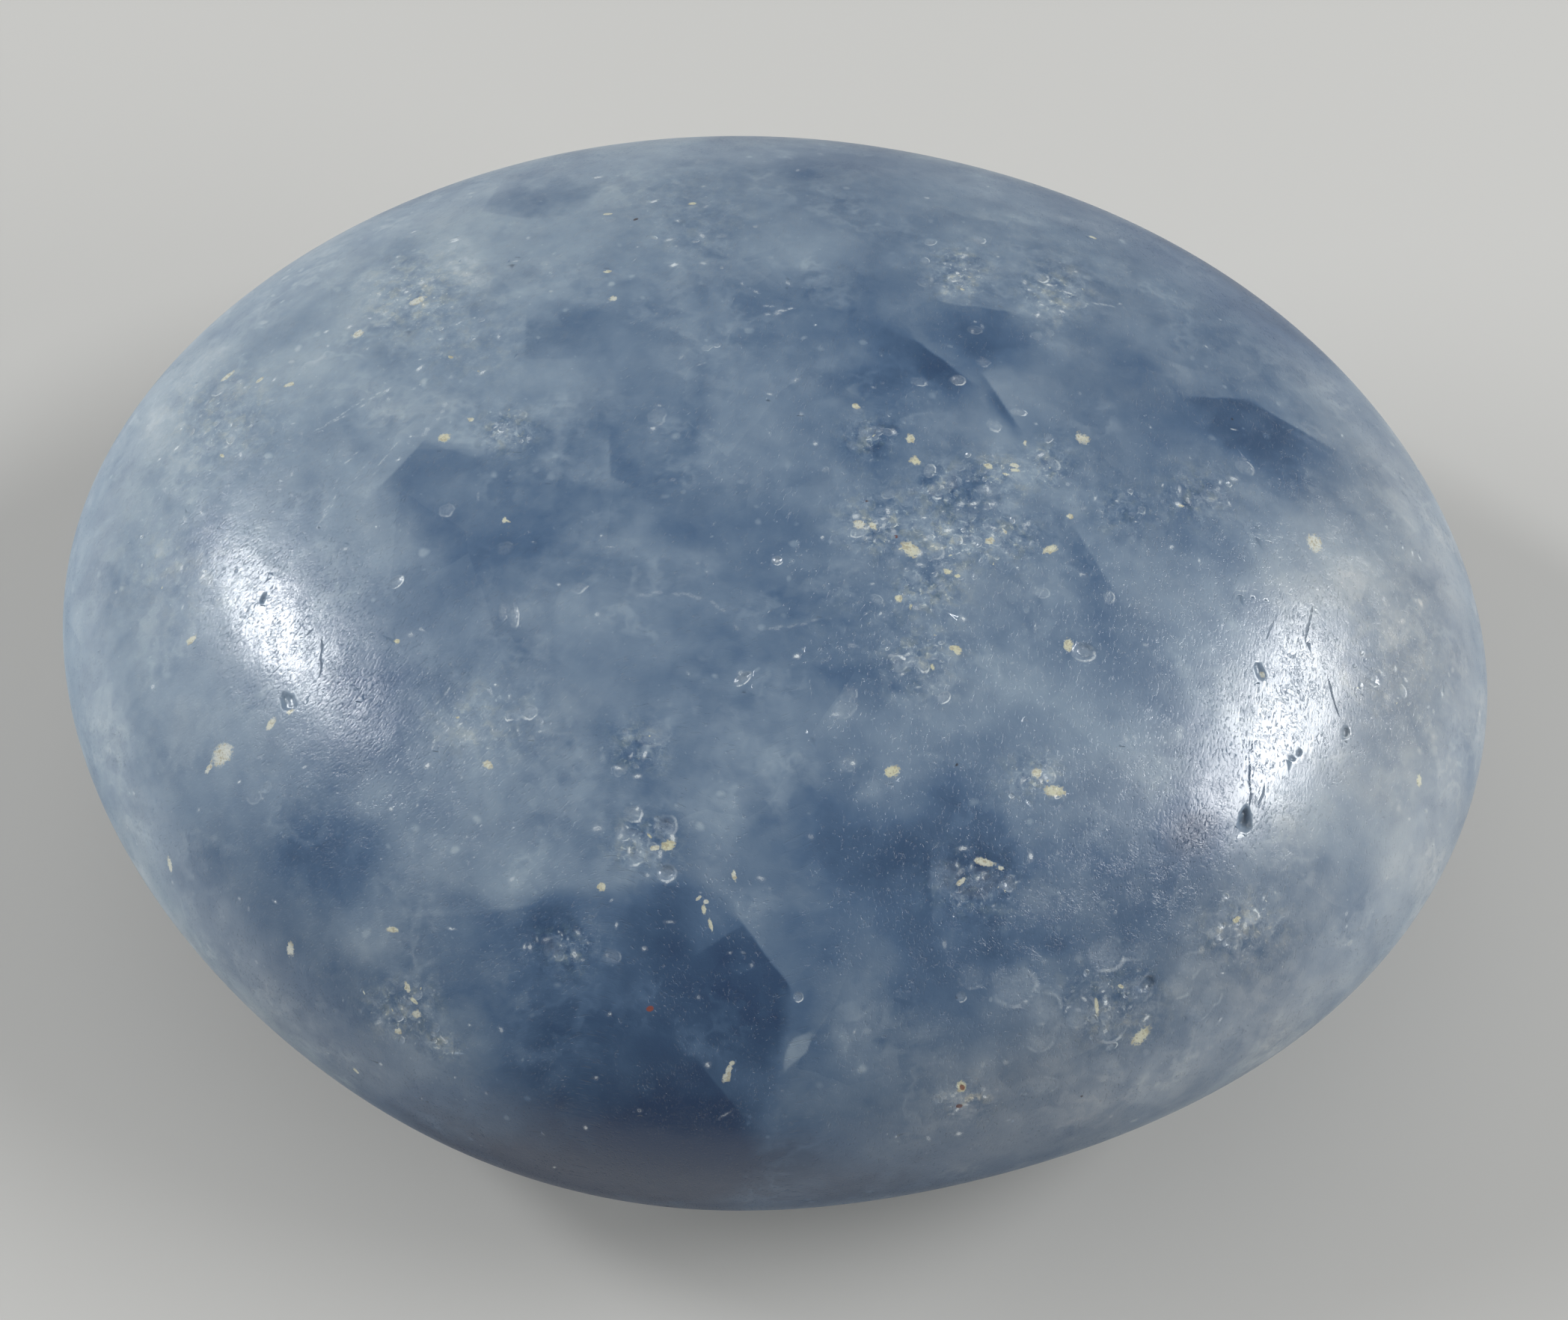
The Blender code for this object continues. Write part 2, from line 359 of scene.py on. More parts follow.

# White dots and dashes, partly white specks and partly painted glints: pixel, length and width in
# # millimetres, turn
WHITE_DOTS_AND_GLINTS = (
    (327, 518, 0.24, 0.2, 0), (367, 524, 0.22, 0.2, 0), (268, 556, 0.3, 0.26, 0),
    (242, 573, 0.28, 0.2, 30), (236, 599, 0.55, 0.22, 35), (315, 610, 0.2, 0.2, 0),
    (302, 597, 0.4, 0.24, 40), (213, 614, 0.34, 0.24, 20), (532, 343, 0.4, 0.36, 0),
    (578, 374, 0.34, 0.28, 0), (561, 399, 0.5, 0.36, 30), (553, 310, 0.55, 0.24, 20),
    (608, 322, 0.8, 0.26, 20), (634, 425, 0.24, 0.2, 60), (634, 453, 0.26, 0.2, 30),
    (491, 466, 0.3, 0.26, 0), (480, 442, 0.6, 0.3, -20), (533, 614, 0.34, 0.2, 30),
    (503, 704, 0.2, 0.18, 0), (348, 704, 0.22, 0.18, 0), (799, 237, 0.62, 0.36, 0),
    (940, 249, 0.34, 0.24, 0), (875, 269, 0.6, 0.3, 40), (906, 295, 0.42, 0.28, -40),
    (853, 330, 0.24, 0.22, 0), (904, 329, 0.28, 0.22, 0), (901, 354, 0.6, 0.4, 20),
    (689, 349, 0.55, 0.18, 0), (608, 320, 0.6, 0.22, 0), (1090, 434, 0.24, 0.22, 0),
    (1029, 527, 0.5, 0.2, -25), (1061, 508, 0.42, 0.28, 0), (1090, 593, 0.4, 0.3, 0),
    (881, 542, 0.26, 0.2, 0), (873, 572, 0.5, 0.2, 5), (1375, 387, 0.4, 0.26, -10),
    (1427, 391, 0.8, 0.24, -20), (1438, 363, 0.34, 0.28, 30), (1497, 406, 0.3, 0.22, 40),
    (1334, 343, 0.28, 0.22, 0), (1280, 365, 0.42, 0.34, 0), (1263, 352, 0.3, 0.24, 0),
    (1290, 341, 0.42, 0.26, 10), (1538, 571, 0.22, 0.2, 0), (1631, 427, 0.26, 0.18, -20),
    (1612, 463, 0.28, 0.2, -30), (1794, 582, 0.3, 0.24, 60), (1649, 574, 0.55, 0.14, 0),
    (1649, 640, 0.62, 0.34, 0), (1575, 674, 0.42, 0.36, 0), (1577, 655, 0.62, 0.22, 85),
    (1588, 666, 0.22, 0.2, 0), (1287, 827, 0.42, 0.34, -50), (1384, 838, 0.5, 0.14, 80),
    (1039, 749, 0.3, 0.26, 30), (1117, 955, 0.62, 0.26, 5), (1140, 1020, 0.34, 0.28, 10),
    (1099, 718, 0.22, 0.32, 0), (1065, 877, 0.38, 0.34, 0), (662, 915, 0.24, 0.2, 30),
    (681, 931, 0.18, 0.3, 0), (549, 848, 0.36, 0.4, 0), (571, 1023, 0.4, 0.32, 30),
    (523, 1081, 0.34, 0.28, 20), (558, 1076, 0.22, 0.18, 40), (478, 1074, 0.26, 0.2, 20),
    (407, 1025, 0.4, 0.14, 20), (368, 1205, 0.36, 0.2, -20), (320, 1201, 0.3, 0.26, 0),
    (604, 1241, 0.55, 0.16, -5), (183, 1128, 0.22, 0.18, 0), (179, 1060, 0.3, 0.28, 0),
    (187, 1045, 0.2, 0.2, 0), (204, 918, 0.4, 0.32, 30), (320, 1045, 0.34, 0.18, 30),
    (351, 1067, 0.22, 0.22, 0), (389, 1269, 0.24, 0.3, 0), (520, 1361, 0.2, 0.18, 0),
    (509, 1422, 0.24, 0.22, 0), (797, 1440, 0.26, 0.24, 0), (783, 1507, 0.24, 0.3, 0),
    (815, 1355, 0.24, 0.2, 40), (861, 1268, 0.3, 0.28, 0), (741, 1560, 0.34, 0.16, 60),
    (608, 1440, 0.22, 0.14, 50), (564, 1468, 0.14, 0.22, 0), (768, 1276, 0.46, 0.3, -60),
    (730, 1256, 0.55, 0.32, 25), (895, 1232, 0.62, 0.18, 0), (824, 1236, 0.2, 0.42, 0),
    (946, 1423, 0.34, 0.34, 0), (969, 1490, 0.95, 0.16, 35), (1005, 1290, 0.26, 0.24, 0),
    (1378, 1145, 0.3, 0.5, 0), (1477, 1378, 0.34, 0.44, 0), (1478, 1339, 0.26, 0.26, 0),
    (1534, 1319, 0.24, 0.24, 0), (1629, 1253, 0.34, 0.34, 60), (1631, 1363, 0.6, 0.18, 65),
    (1282, 1515, 0.42, 0.36, 0), (1888, 739, 0.2, 0.5, 0), (1898, 746, 0.22, 0.6, 20),
    (1875, 732, 0.2, 0.34, 0), (1928, 928, 0.24, 0.55, 10), (1566, 731, 0.42, 0.22, 30),
    (1603, 749, 0.2, 0.34, 0), (1493, 669, 0.34, 0.3, 0), (1391, 608, 0.7, 0.3, 30),
    (1399, 636, 0.28, 0.24, 0), (1427, 647, 0.34, 0.28, 0), (1302, 673, 0.6, 0.24, 20),
    (1328, 673, 0.55, 0.4, 0), (1345, 738, 0.22, 0.34, 0), (1800, 1221, 0.34, 0.34, 0),
    (1800, 1238, 0.2, 0.24, 0), (892, 1179, 0.34, 0.22, 30), (1300, 443, 0.22, 0.5, 0),
    (628, 1370, 0.2, 0.2, 0), (852, 1081, 0.34, 0.28, 20), (830, 1117, 0.36, 0.28, 10),
    (544, 390, 0.46, 0.34, 0), (467, 437, 0.55, 0.36, 20), (436, 443, 0.4, 0.3, 0),
    (589, 453, 0.34, 0.26, 0), (613, 432, 0.6, 0.14, 40), (518, 522, 0.44, 0.16, 60),
    (485, 534, 0.4, 0.2, 30), (571, 572, 0.26, 0.2, 0), (549, 583, 0.24, 0.2, 0),
    (639, 664, 0.14, 0.6, 0), (804, 716, 0.24, 0.2, 0), (815, 731, 0.5, 0.14, 0),
    (747, 781, 0.22, 0.22, 0), (536, 772, 0.46, 0.14, 30), (564, 378, 0.6, 0.4, 20),
)

# Bubbles opened by the polish, seen as pale rings with a painted highlight on one side: pixel,
# length and width in millimetres, turn, strength
RINGS = (
    (597, 682, 0.85, 0.8, 0, 0.6), (675, 733, 0.9, 0.8, 0, 0.4), (529, 778, 0.9, 0.6, 40, 0.8),
    (683, 573, 0.8, 0.7, 0, 0.5), (670, 585, 0.6, 0.5, 0, 0.4), (944, 465, 0.5, 0.44, 0, 0.6),
    (959, 461, 0.44, 0.36, 0, 0.7), (878, 556, 0.95, 1.3, 0, 0.5), (1102, 627, 0.5, 0.42, 0, 0.5),
    (1228, 510, 1.0, 0.6, -10, 0.7), (1280, 508, 0.85, 0.7, 0, 0.9), (1303, 441, 0.8, 0.6, 0, 0.4),
    (1385, 449, 0.7, 0.6, 0, 0.5), (1402, 445, 0.6, 0.6, 0, 0.5), (1314, 484, 0.85, 0.7, 0, 0.6),
    (1362, 551, 0.85, 0.5, -5, 0.8), (1329, 569, 0.95, 0.72, -60, 0.7), (1526, 682, 0.45, 0.45, 0, 0.6),
    (1585, 662, 1.0, 0.9, 0, 0.4), (1664, 625, 1.1, 0.9, -40, 0.6), (1393, 792, 0.8, 0.6, 0, 0.6),
    (1482, 799, 0.62, 0.8, 0, 0.7), (1039, 749, 0.55, 0.52, 0, 0.9), (993, 907, 1.05, 0.5, 42, 0.9),
    (1136, 927, 0.7, 0.9, 0, 0.6), (1128, 948, 1.2, 0.9, 30, 0.4), (1447, 871, 1.3, 1.0, -15, 0.7),
    (1401, 1033, 0.6, 0.6, 0, 0.7), (1386, 1032, 0.6, 0.56, 0, 0.5), (1133, 1020, 0.9, 0.8, 0, 0.5),
    (874, 980, 1.7, 1.3, 20, 0.4), (862, 985, 0.8, 0.8, 0, 0.6), (1157, 579, 0.7, 0.6, 0, 0.7),
    (1172, 577, 0.6, 0.5, 0, 0.6), (1147, 548, 0.6, 0.5, 0, 0.5), (890, 1105, 1.2, 1.05, 60, 0.6),
    (846, 1088, 0.95, 0.8, 0, 0.7), (831, 1112, 0.7, 0.8, 0, 0.8), (850, 1145, 1.1, 0.8, 30, 0.7),
    (891, 1166, 0.85, 0.95, 80, 0.7), (865, 1140, 0.8, 0.6, 0, 0.6), (818, 1279, 0.9, 0.8, 0, 0.5),
    (1067, 1332, 0.5, 0.5, 0, 0.9), (1285, 1332, 0.5, 0.55, 0, 0.7), (1481, 1275, 1.9, 1.7, 0, 0.6),
    (1356, 1319, 2.2, 2.0, 0, 0.6), (1598, 1240, 2.0, 1.6, 10, 0.3), (1440, 1361, 1.1, 1.0, 0, 0.6),
    (1486, 1378, 1.3, 1.2, 30, 0.6), (1523, 1322, 1.5, 1.2, 10, 0.5), (1508, 1320, 0.9, 0.7, 0, 0.6),
    (1264, 1172, 1.6, 1.8, 0, 0.4), (1314, 1180, 1.8, 1.5, 10, 0.4), (1391, 1200, 2.2, 1.9, 0, 0.3),
    (1604, 1352, 0.9, 0.8, 0, 0.4), (1650, 1262, 0.9, 0.8, 0, 0.4), (1799, 978, 0.5, 0.6, 0, 0.8),
    (672, 817, 0.44, 1.1, 4, 0.7), (687, 822, 0.5, 1.4, 8, 0.7), (1271, 643, 1.1, 0.8, 0, 0.5),
    (1281, 622, 0.8, 0.7, 0, 0.5), (1262, 655, 0.6, 0.5, 0, 0.5), (339, 1064, 0.9, 0.8, 0, 0.4),
    (356, 1052, 0.7, 0.6, 0, 0.4), (1870, 975, 0.9, 0.9, 0, 0.4), (774, 786, 0.9, 0.6, 20, 0.6),
    (1352, 1312, 1.5, 1.4, 0, 0.5), (1395, 1348, 1.8, 1.6, 20, 0.5), (1300, 1305, 1.4, 1.2, 0, 0.3),
    (1446, 1344, 1.2, 1.5, 60, 0.55), (1575, 1235, 1.3, 1.5, 0, 0.3), (1640, 1215, 1.2, 1.0, 0, 0.4),
    (1590, 1290, 1.5, 1.2, 30, 0.4), (1602, 1352, 1.2, 1.0, 0, 0.55), (1395, 1452, 1.5, 1.0, 10, 0.5),
    (1390, 1390, 1.4, 1.2, 0, 0.4), (1700, 1220, 1.2, 1.4, 0, 0.3), (1620, 1330, 1.2, 1.3, 0, 0.4),
    (1575, 1318, 1.6, 1.3, 0, 0.45), (1480, 1420, 1.6, 1.0, 0, 0.3), (1380, 1450, 1.6, 0.9, 20, 0.3),
    (1520, 1270, 1.4, 1.0, 0, 0.3), (1225, 948, 1.6, 1.3, 0, 0.3),
)

# Swarms of tiny bubbles and flecks: pixel, spread in millimetres, how many
SWARMS = (
    (1285, 365, 1.6, 26), (1410, 390, 1.9, 16), (1265, 655, 1.9, 34), (1160, 585, 1.3, 20),
    (1330, 640, 1.6, 18), (1180, 700, 2.2, 34), (1270, 720, 2.4, 40), (1340, 720, 1.8, 24),
    (1240, 790, 1.8, 20), (1400, 620, 1.4, 12), (860, 1125, 1.7, 30), (760, 1265, 1.7, 18),
    (540, 1350, 1.8, 20), (590, 1395, 1.0, 10), (680, 575, 1.4, 20), (560, 400, 2.6, 26),
    (300, 560, 3.0, 22), (1300, 1180, 2.2, 24), (1490, 1340, 2.6, 30), (1660, 1240, 2.4, 24),
    (1600, 660, 1.8, 14), (1500, 680, 1.6, 10), (1290, 1470, 1.4, 10), (640, 960, 3.0, 20),
    (240, 760, 3.4, 20), (930, 290, 3.2, 16), (1380, 1040, 1.4, 12), (1230, 880, 2.2, 20),
    (1180, 830, 4.0, 20), (850, 1000, 1.6, 12), (620, 460, 3.0, 16), (1850, 900, 3.0, 16),
)

# Vugs, hollows that the polish opened: pixel, length and width of the mouth, turn, depth, taper
VUGS = (
    (1664, 1094, 1.2, 0.64, 76, 0.28, -0.45),
    (1684, 897, 0.9, 0.4, -78, 0.13, 0.0),
    (1728, 1014, 0.34, 0.2, -10, 0.1, 0.0),
    (1737, 1006, 0.34, 0.22, 60, 0.12, 0.0),
    (1799, 979, 0.56, 0.4, 80, 0.14, 0.0),
    (385, 938, 1.05, 0.7, -60, 0.11, 0.2),
    (352, 799, 0.6, 0.17, 76, 0.12, -0.3),
    (993, 907, 0.95, 0.42, 42, 0.09, 0.0),
    (891, 1166, 0.72, 0.82, 80, 0.1, 0.0),
    (890, 1105, 0.8, 0.95, 60, 0.07, 0.0),
    (1450, 870, 1.1, 0.85, -15, 0.15, 0.0),
    (1532, 1315, 1.0, 0.7, 30, 0.12, 0.0),
    (1280, 508, 0.62, 0.52, 0, 0.07, 0.0),
    (1039, 749, 0.42, 0.4, 0, 0.07, 0.0),
)

# Fine cracks, darkened inside with painted shade: their pixels in turn, width in millimetres, how
# # dark
CRACKS = (
    (((430, 854), (431, 866), (429, 877), (430, 890), (428, 902)), 0.075, 0.9),
    (((1674, 992), (1673, 1005)), 0.08, 1.0),
    (((1671, 1022), (1670, 1042), (1672, 1060), (1670, 1074)), 0.09, 1.0),
    (((1776, 908), (1779, 922), (1783, 937), (1789, 955)), 0.08, 1.0),
    (((1755, 812), (1750, 832), (1744, 856)), 0.07, 0.8),
    (((1702, 832), (1697, 842), (1693, 854)), 0.07, 0.5),
    (((411, 848), (416, 843)), 0.09, 0.9),
    (((354, 778), (362, 772)), 0.08, 0.7),
    (((1690, 1052), (1688, 1062), (1682, 1074)), 0.09, 0.7),
)

# Pale broken lines along the cleavage, partly white veins and partly painted glints: their pixels
# # in turn, width in millimetres, strength
GLINTS = (
    (((521, 517), (500, 531), (472, 550), (448, 561)), 0.12, 0.4),
    (((491, 597), (470, 612), (456, 624)), 0.12, 0.35),
    (((450, 656), (441, 680), (428, 699)), 0.12, 0.35),
    (((432, 690), (444, 662), (452, 640)), 0.08, 0.3),
    (((462, 655), (480, 630), (502, 606)), 0.08, 0.35),
    (((498, 632), (518, 606), (533, 588)), 0.1, 0.35),
    (((420, 578), (452, 556), (480, 538)), 0.08, 0.35),
    (((602, 498), (603, 520), (598, 540), (580, 569), (563, 581)), 0.3, 0.22),
    (((850, 796), (880, 791), (904, 792), (945, 800), (974, 821), (987, 842)), 0.2, 0.18),
    (((604, 913), (590, 935), (572, 952), (556, 974)), 0.12, 0.35),
    (((583, 987), (576, 1003), (570, 1018)), 0.12, 0.35),
    (((1003, 425), (1022, 419), (1042, 419)), 0.22, 0.4),
    (((1040, 418), (1058, 411), (1067, 401)), 0.16, 0.55),
    (((1022, 410), (1036, 408)), 0.14, 0.35),
    (((1655, 716), (1690, 716), (1729, 720)), 0.07, 0.5),
    (((1655, 788), (1690, 790), (1727, 795)), 0.07, 0.6),
    (((1655, 610), (1668, 618), (1675, 632)), 0.1, 0.7),
    (((1430, 391), (1455, 402), (1490, 412)), 0.16, 0.35),
    (((1600, 1157), (1625, 1163), (1650, 1168)), 0.07, 0.4),
    (((1028, 842), (1065, 835), (1107, 827)), 0.16, 0.18),
    (((1082, 900), (1084, 940), (1088, 990)), 0.07, 0.35),
    (((1500, 1170), (1512, 1215), (1524, 1255)), 0.09, 0.25),
    (((968, 485), (950, 484), (930, 490)), 0.08, 0.3),
    (((313, 744), (322, 738), (330, 728)), 0.08, 0.5),
)

# Milk is how cloudy the calcite is: 0 is clear and dark, 1 is nearly white. Each patch of it has
# # the pixel of its middle, its half length and half width as seen in millimetres, its turn and the
# # milk that it adds, which is below zero in a clear patch. The long clear patches along the bottom
# # rim are painted shade, and the long milky patches along the left, right and top rims are painted
# # light, the glow of the lit thin edge.
CLEAR_AND_SHADED_PATCHES = (
    (620, 1170, 1.4, 1.2, 0, -0.06), (1600, 1370, 1.8, 1.5, 0, -0.06), (835, 1040, 1.1, 1.0, 0, -0.06),
    (915, 400, 3.0, 2.4, 0, -0.035), (915, 1528, 2.4, 1.4, 5, -0.1),
    (1515, 1150, 2.2, 1.5, -30, -0.05), (480, 845, 1.2, 1.8, 20, -0.04), (530, 940, 1.8, 1.4, 0, -0.05),
    (1290, 690, 1.5, 1.2, 0, -0.03), (1610, 1085, 1.2, 1.6, 20, -0.06),
    (1670, 1165, 1.5, 1.0, 0, -0.04), (1815, 1160, 1.4, 1.2, 0, -0.05), (1690, 750, 2.0, 1.6, 0, -0.04),
    (620, 560, 1.5, 1.2, 0, -0.04), (1060, 1290, 1.3, 1.3, 0, -0.04), (990, 1045, 1.2, 1.2, 0, -0.04),
    (1140, 625, 1.4, 1.0, 0, -0.03), (1365, 325, 1.6, 1.0, 0, -0.04),
    (1440, 1200, 3.2, 1.5, -15, -0.04), (380, 515, 2.0, 1.2, 20, -0.04),
    (1885, 1085, 1.2, 1.6, 0, -0.04), (1830, 690, 1.2, 2.4, 0, -0.04),
    (560, 530, 3.0, 1.5, -20, -0.035), (1370, 1300, 2.5, 2.0, 0, -0.035),
    (1215, 1225, 1.6, 1.6, 0, -0.03), (1325, 490, 2.5, 1.5, 0, -0.03), (1440, 740, 1.3, 1.0, 0, -0.03),
    (1700, 420, 4.0, 1.2, -42, -0.05), (1600, 340, 4.0, 1.0, -33, -0.03),
    (1810, 520, 3.0, 1.0, -50, -0.04), (1740, 565, 1.6, 1.2, 0, -0.03), (280, 715, 1.6, 1.2, 30, -0.04),
    (1880, 860, 1.2, 1.6, 0, -0.03), (920, 570, 0.9, 1.4, 0, -0.05), (560, 1520, 7.0, 2.2, -28, -0.12),
    (405, 1150, 4.6, 2.2, 24, -0.17), (390, 1215, 5.5, 4.2, 15, -0.13),
    (430, 1330, 5.0, 3.0, -40, -0.07), (400, 1050, 4.0, 2.4, 10, -0.08), (640, 745, 2.6, 1.6, 0, -0.1),
    (710, 680, 2.4, 1.8, 0, -0.07), (650, 735, 2.0, 1.0, 0, -0.08), (1160, 470, 4.8, 2.4, -28, -0.07),
    (1100, 420, 3.4, 1.5, -10, -0.07), (1200, 455, 2.4, 0.8, -32, -0.06),
    (640, 1212, 0.7, 0.35, 0, -0.08), (600, 1204, 2.0, 0.5, 4, -0.11),
    (1780, 640, 3.4, 2.0, -40, -0.1), (1650, 620, 3.2, 2.2, 0, -0.06),
    (1130, 1130, 3.8, 2.6, -12, -0.19), (1262, 1062, 2.8, 1.7, 10, -0.15),
    (1280, 1285, 5.0, 3.6, -20, -0.1), (1490, 1240, 6.5, 4.0, 0, -0.08),
    (1409, 1262, 0.9, 0.5, 0, -0.16), (1532, 1316, 1.1, 0.9, 0, -0.16),
    (930, 530, 0.42, 1.8, -4, -0.2), (943, 490, 1.0, 0.35, 0, -0.1), (890, 655, 2.2, 1.4, -30, -0.08),
    (905, 712, 1.9, 1.0, 0, -0.11), (985, 715, 1.8, 1.0, -20, -0.09), (1050, 740, 2.4, 1.4, -10, -0.07),
    (830, 985, 1.9, 1.1, 0, -0.12), (885, 1035, 1.6, 1.3, 0, -0.07), (1190, 610, 1.5, 1.9, 0, -0.1),
    (1240, 660, 1.3, 1.1, 0, -0.06), (1550, 690, 2.6, 1.9, 0, -0.09), (1560, 450, 6.0, 2.4, -32, -0.05),
    (1490, 470, 3.4, 1.2, -52, -0.08), (1500, 620, 3.0, 2.4, 0, -0.05),
    (1060, 1550, 1.6, 0.9, 0, -0.14), (1190, 1500, 2.2, 1.6, 0, -0.07),
    (1100, 1440, 3.0, 1.8, 0, -0.04), (1050, 262, 6.0, 1.3, 0, -0.05), (1150, 385, 2.6, 0.9, 0, -0.08),
    (1000, 385, 3.2, 0.8, 0, -0.05), (520, 920, 1.4, 2.8, 0, -0.05), (1500, 880, 2.2, 2.2, 0, -0.05),
    (1390, 860, 1.5, 1.6, 0, -0.05), (1815, 1180, 1.0, 1.6, 0, -0.1), (546, 338, 1.1, 0.9, 0, -0.17),
    (523, 456, 1.1, 1.2, 0, -0.19), (470, 580, 2.4, 1.3, 20, -0.06), (560, 790, 1.6, 1.0, 0, -0.06),
    (1340, 1010, 1.6, 1.0, 0, -0.07), (1290, 665, 1.6, 1.2, 0, -0.11), (1290, 1150, 2.4, 1.6, 0, -0.14),
    (1070, 1270, 2.2, 1.7, -50, -0.16), (1080, 1350, 1.8, 1.6, 0, -0.1),
    (850, 1030, 1.8, 2.2, 0, -0.09), (1600, 1140, 1.8, 1.4, 0, -0.12), (930, 1515, 3.6, 1.8, 0, -0.16),
    (720, 1545, 7.0, 1.9, -20, -0.14), (1120, 1575, 8.0, 1.5, 5, -0.16),
    (1380, 1520, 5.0, 1.6, 20, -0.1), (1130, 920, 1.6, 1.2, 0, -0.07), (1060, 800, 1.8, 1.2, 0, -0.06),
    (1590, 400, 7.0, 1.8, -38, -0.07), (1150, 200, 9.0, 1.2, -5, -0.07),
    (1310, 430, 2.4, 1.6, 0, -0.07), (1500, 545, 2.0, 2.0, 0, -0.06), (1000, 1200, 2.6, 2.2, 0, -0.09),
    (1190, 1300, 2.4, 2.2, 0, -0.11), (1010, 1345, 1.6, 1.2, 0, -0.08), (900, 1115, 1.6, 1.3, 0, -0.07),
    (1480, 1250, 2.4, 2.0, 0, -0.07), (1500, 1350, 2.0, 1.6, 0, -0.05), (1170, 910, 1.8, 1.4, 0, -0.07),
    (1220, 740, 1.2, 1.2, 0, -0.07), (1820, 1205, 0.9, 1.4, 0, -0.08), (1140, 1510, 3.0, 1.0, 0, -0.08),
    (780, 1570, 6.0, 1.3, -12, -0.14), (1080, 1590, 9.0, 1.1, 2, -0.14),
    (910, 1535, 3.4, 2.0, 0, -0.26), (1300, 1570, 5.0, 1.2, 14, -0.1), (1290, 675, 1.5, 1.3, 0, -0.12),
    (1600, 1110, 1.5, 1.4, 0, -0.08), (1300, 1160, 1.4, 1.0, 0, -0.08), (850, 1100, 1.2, 1.1, 0, -0.06),
    (1690, 380, 7.0, 1.4, -38, -0.12), (1170, 280, 2.0, 0.8, -5, -0.08),
    (930, 1460, 2.6, 1.2, 0, -0.06), (1420, 580, 1.6, 1.2, 0, -0.07), (1060, 815, 1.6, 1.0, 0, -0.06),
    (1215, 780, 1.2, 1.4, 0, -0.07), (830, 560, 1.2, 1.2, 0, -0.06), (1597, 1105, 1.3, 1.1, 0, -0.13),
    (1650, 745, 1.2, 1.2, 0, -0.1), (448, 560, 1.5, 1.1, 0, -0.16), (1545, 660, 1.2, 1.6, 0, -0.07),
    (1290, 690, 1.2, 1.0, 0, -0.06), (1590, 545, 1.2, 1.0, 0, -0.08), (620, 860, 1.2, 1.0, 0, -0.06),
    (1700, 350, 9.0, 1.2, -40, -0.12), (1440, 262, 5.0, 1.0, -22, -0.08),
    (700, 1560, 5.0, 1.2, -20, -0.12), (800, 570, 1.8, 1.4, 0, -0.06), (1130, 800, 9.0, 9.0, 0, -0.04),
    (1250, 1270, 10.0, 6.0, 0, -0.05), (900, 1230, 4.0, 3.0, 0, -0.04),
    (900, 1590, 9.0, 2.2, -4, -0.1), (1240, 1560, 7.0, 2.2, 12, -0.06),
    (1580, 330, 7.0, 1.3, -32, -0.09), (1740, 420, 4.0, 1.6, -46, -0.07),
    (215, 1110, 2.6, 2.6, 0, -0.13), (1240, 700, 3.0, 2.0, 0, -0.04), (1500, 1060, 3.0, 2.4, 0, -0.05),
    (1600, 1100, 1.6, 1.4, 0, -0.06), (1052, 1430, 1.3, 2.2, 0, -0.12),
    (1510, 1400, 3.0, 2.0, 0, -0.07), (990, 424, 1.3, 1.2, 0, -0.15), (240, 715, 1.8, 1.6, 0, -0.1),
    (470, 915, 1.8, 1.4, 0, -0.1), (600, 890, 1.6, 1.6, 0, -0.07), (765, 587, 1.6, 1.0, 0, -0.17),
    (905, 640, 1.2, 1.2, 0, -0.06), (870, 1090, 1.8, 1.4, 0, -0.07), (1365, 690, 1.4, 1.2, 0, -0.07),
    (1480, 1010, 2.4, 1.4, 0, -0.05), (1230, 905, 1.4, 1.2, 0, -0.06), (590, 1320, 1.6, 1.4, 0, -0.06),
    (850, 1460, 3.0, 1.6, 0, -0.05), (1880, 690, 1.4, 1.4, -40, -0.06),
    (1820, 1222, 0.9, 1.2, 0, -0.12), (480, 790, 1.4, 1.2, 0, -0.06), (398, 410, 1.8, 1.0, 40, -0.15),
    (575, 600, 1.2, 1.0, 0, -0.12), (645, 643, 1.1, 0.9, 0, -0.11), (560, 413, 1.0, 0.9, 0, -0.09),
    (380, 600, 1.6, 1.0, 0, -0.07), (279, 582, 1.2, 1.0, 40, -0.09), (254, 700, 1.2, 1.0, 0, -0.09),
    (310, 660, 1.2, 0.9, 0, -0.07), (645, 303, 1.4, 0.8, 10, -0.09), (747, 300, 1.2, 0.6, 0, -0.08),
    (855, 250, 1.6, 0.9, 0, -0.13), (815, 505, 1.2, 1.0, 0, -0.08), (865, 540, 1.0, 1.2, -40, -0.12),
    (828, 677, 1.2, 1.0, 0, -0.11), (1333, 395, 1.2, 0.9, 0, -0.13), (1215, 380, 2.0, 0.7, 0, -0.11),
    (1396, 375, 1.2, 0.7, 0, -0.11), (1180, 580, 1.2, 1.1, 0, -0.11), (1168, 508, 1.2, 0.8, 0, -0.12),
    (1267, 507, 1.0, 0.8, 0, -0.1), (1400, 550, 1.4, 1.2, 0, -0.08), (1418, 600, 1.2, 1.2, 0, -0.09),
    (1195, 695, 1.0, 0.9, 0, -0.12), (1385, 700, 1.4, 0.9, 0, -0.09), (1052, 708, 1.6, 1.0, 0, -0.13),
    (1505, 515, 1.1, 1.1, 0, -0.11), (1620, 550, 1.2, 0.9, 0, -0.09), (825, 772, 3.0, 0.7, 0, -0.13),
    (928, 838, 1.1, 1.0, 0, -0.13), (710, 893, 1.3, 1.2, 0, -0.07), (608, 945, 0.9, 1.5, -35, -0.09),
    (690, 1020, 1.2, 2.4, 0, -0.08), (432, 1120, 1.4, 1.2, 0, -0.12), (470, 1182, 1.2, 1.0, 0, -0.1),
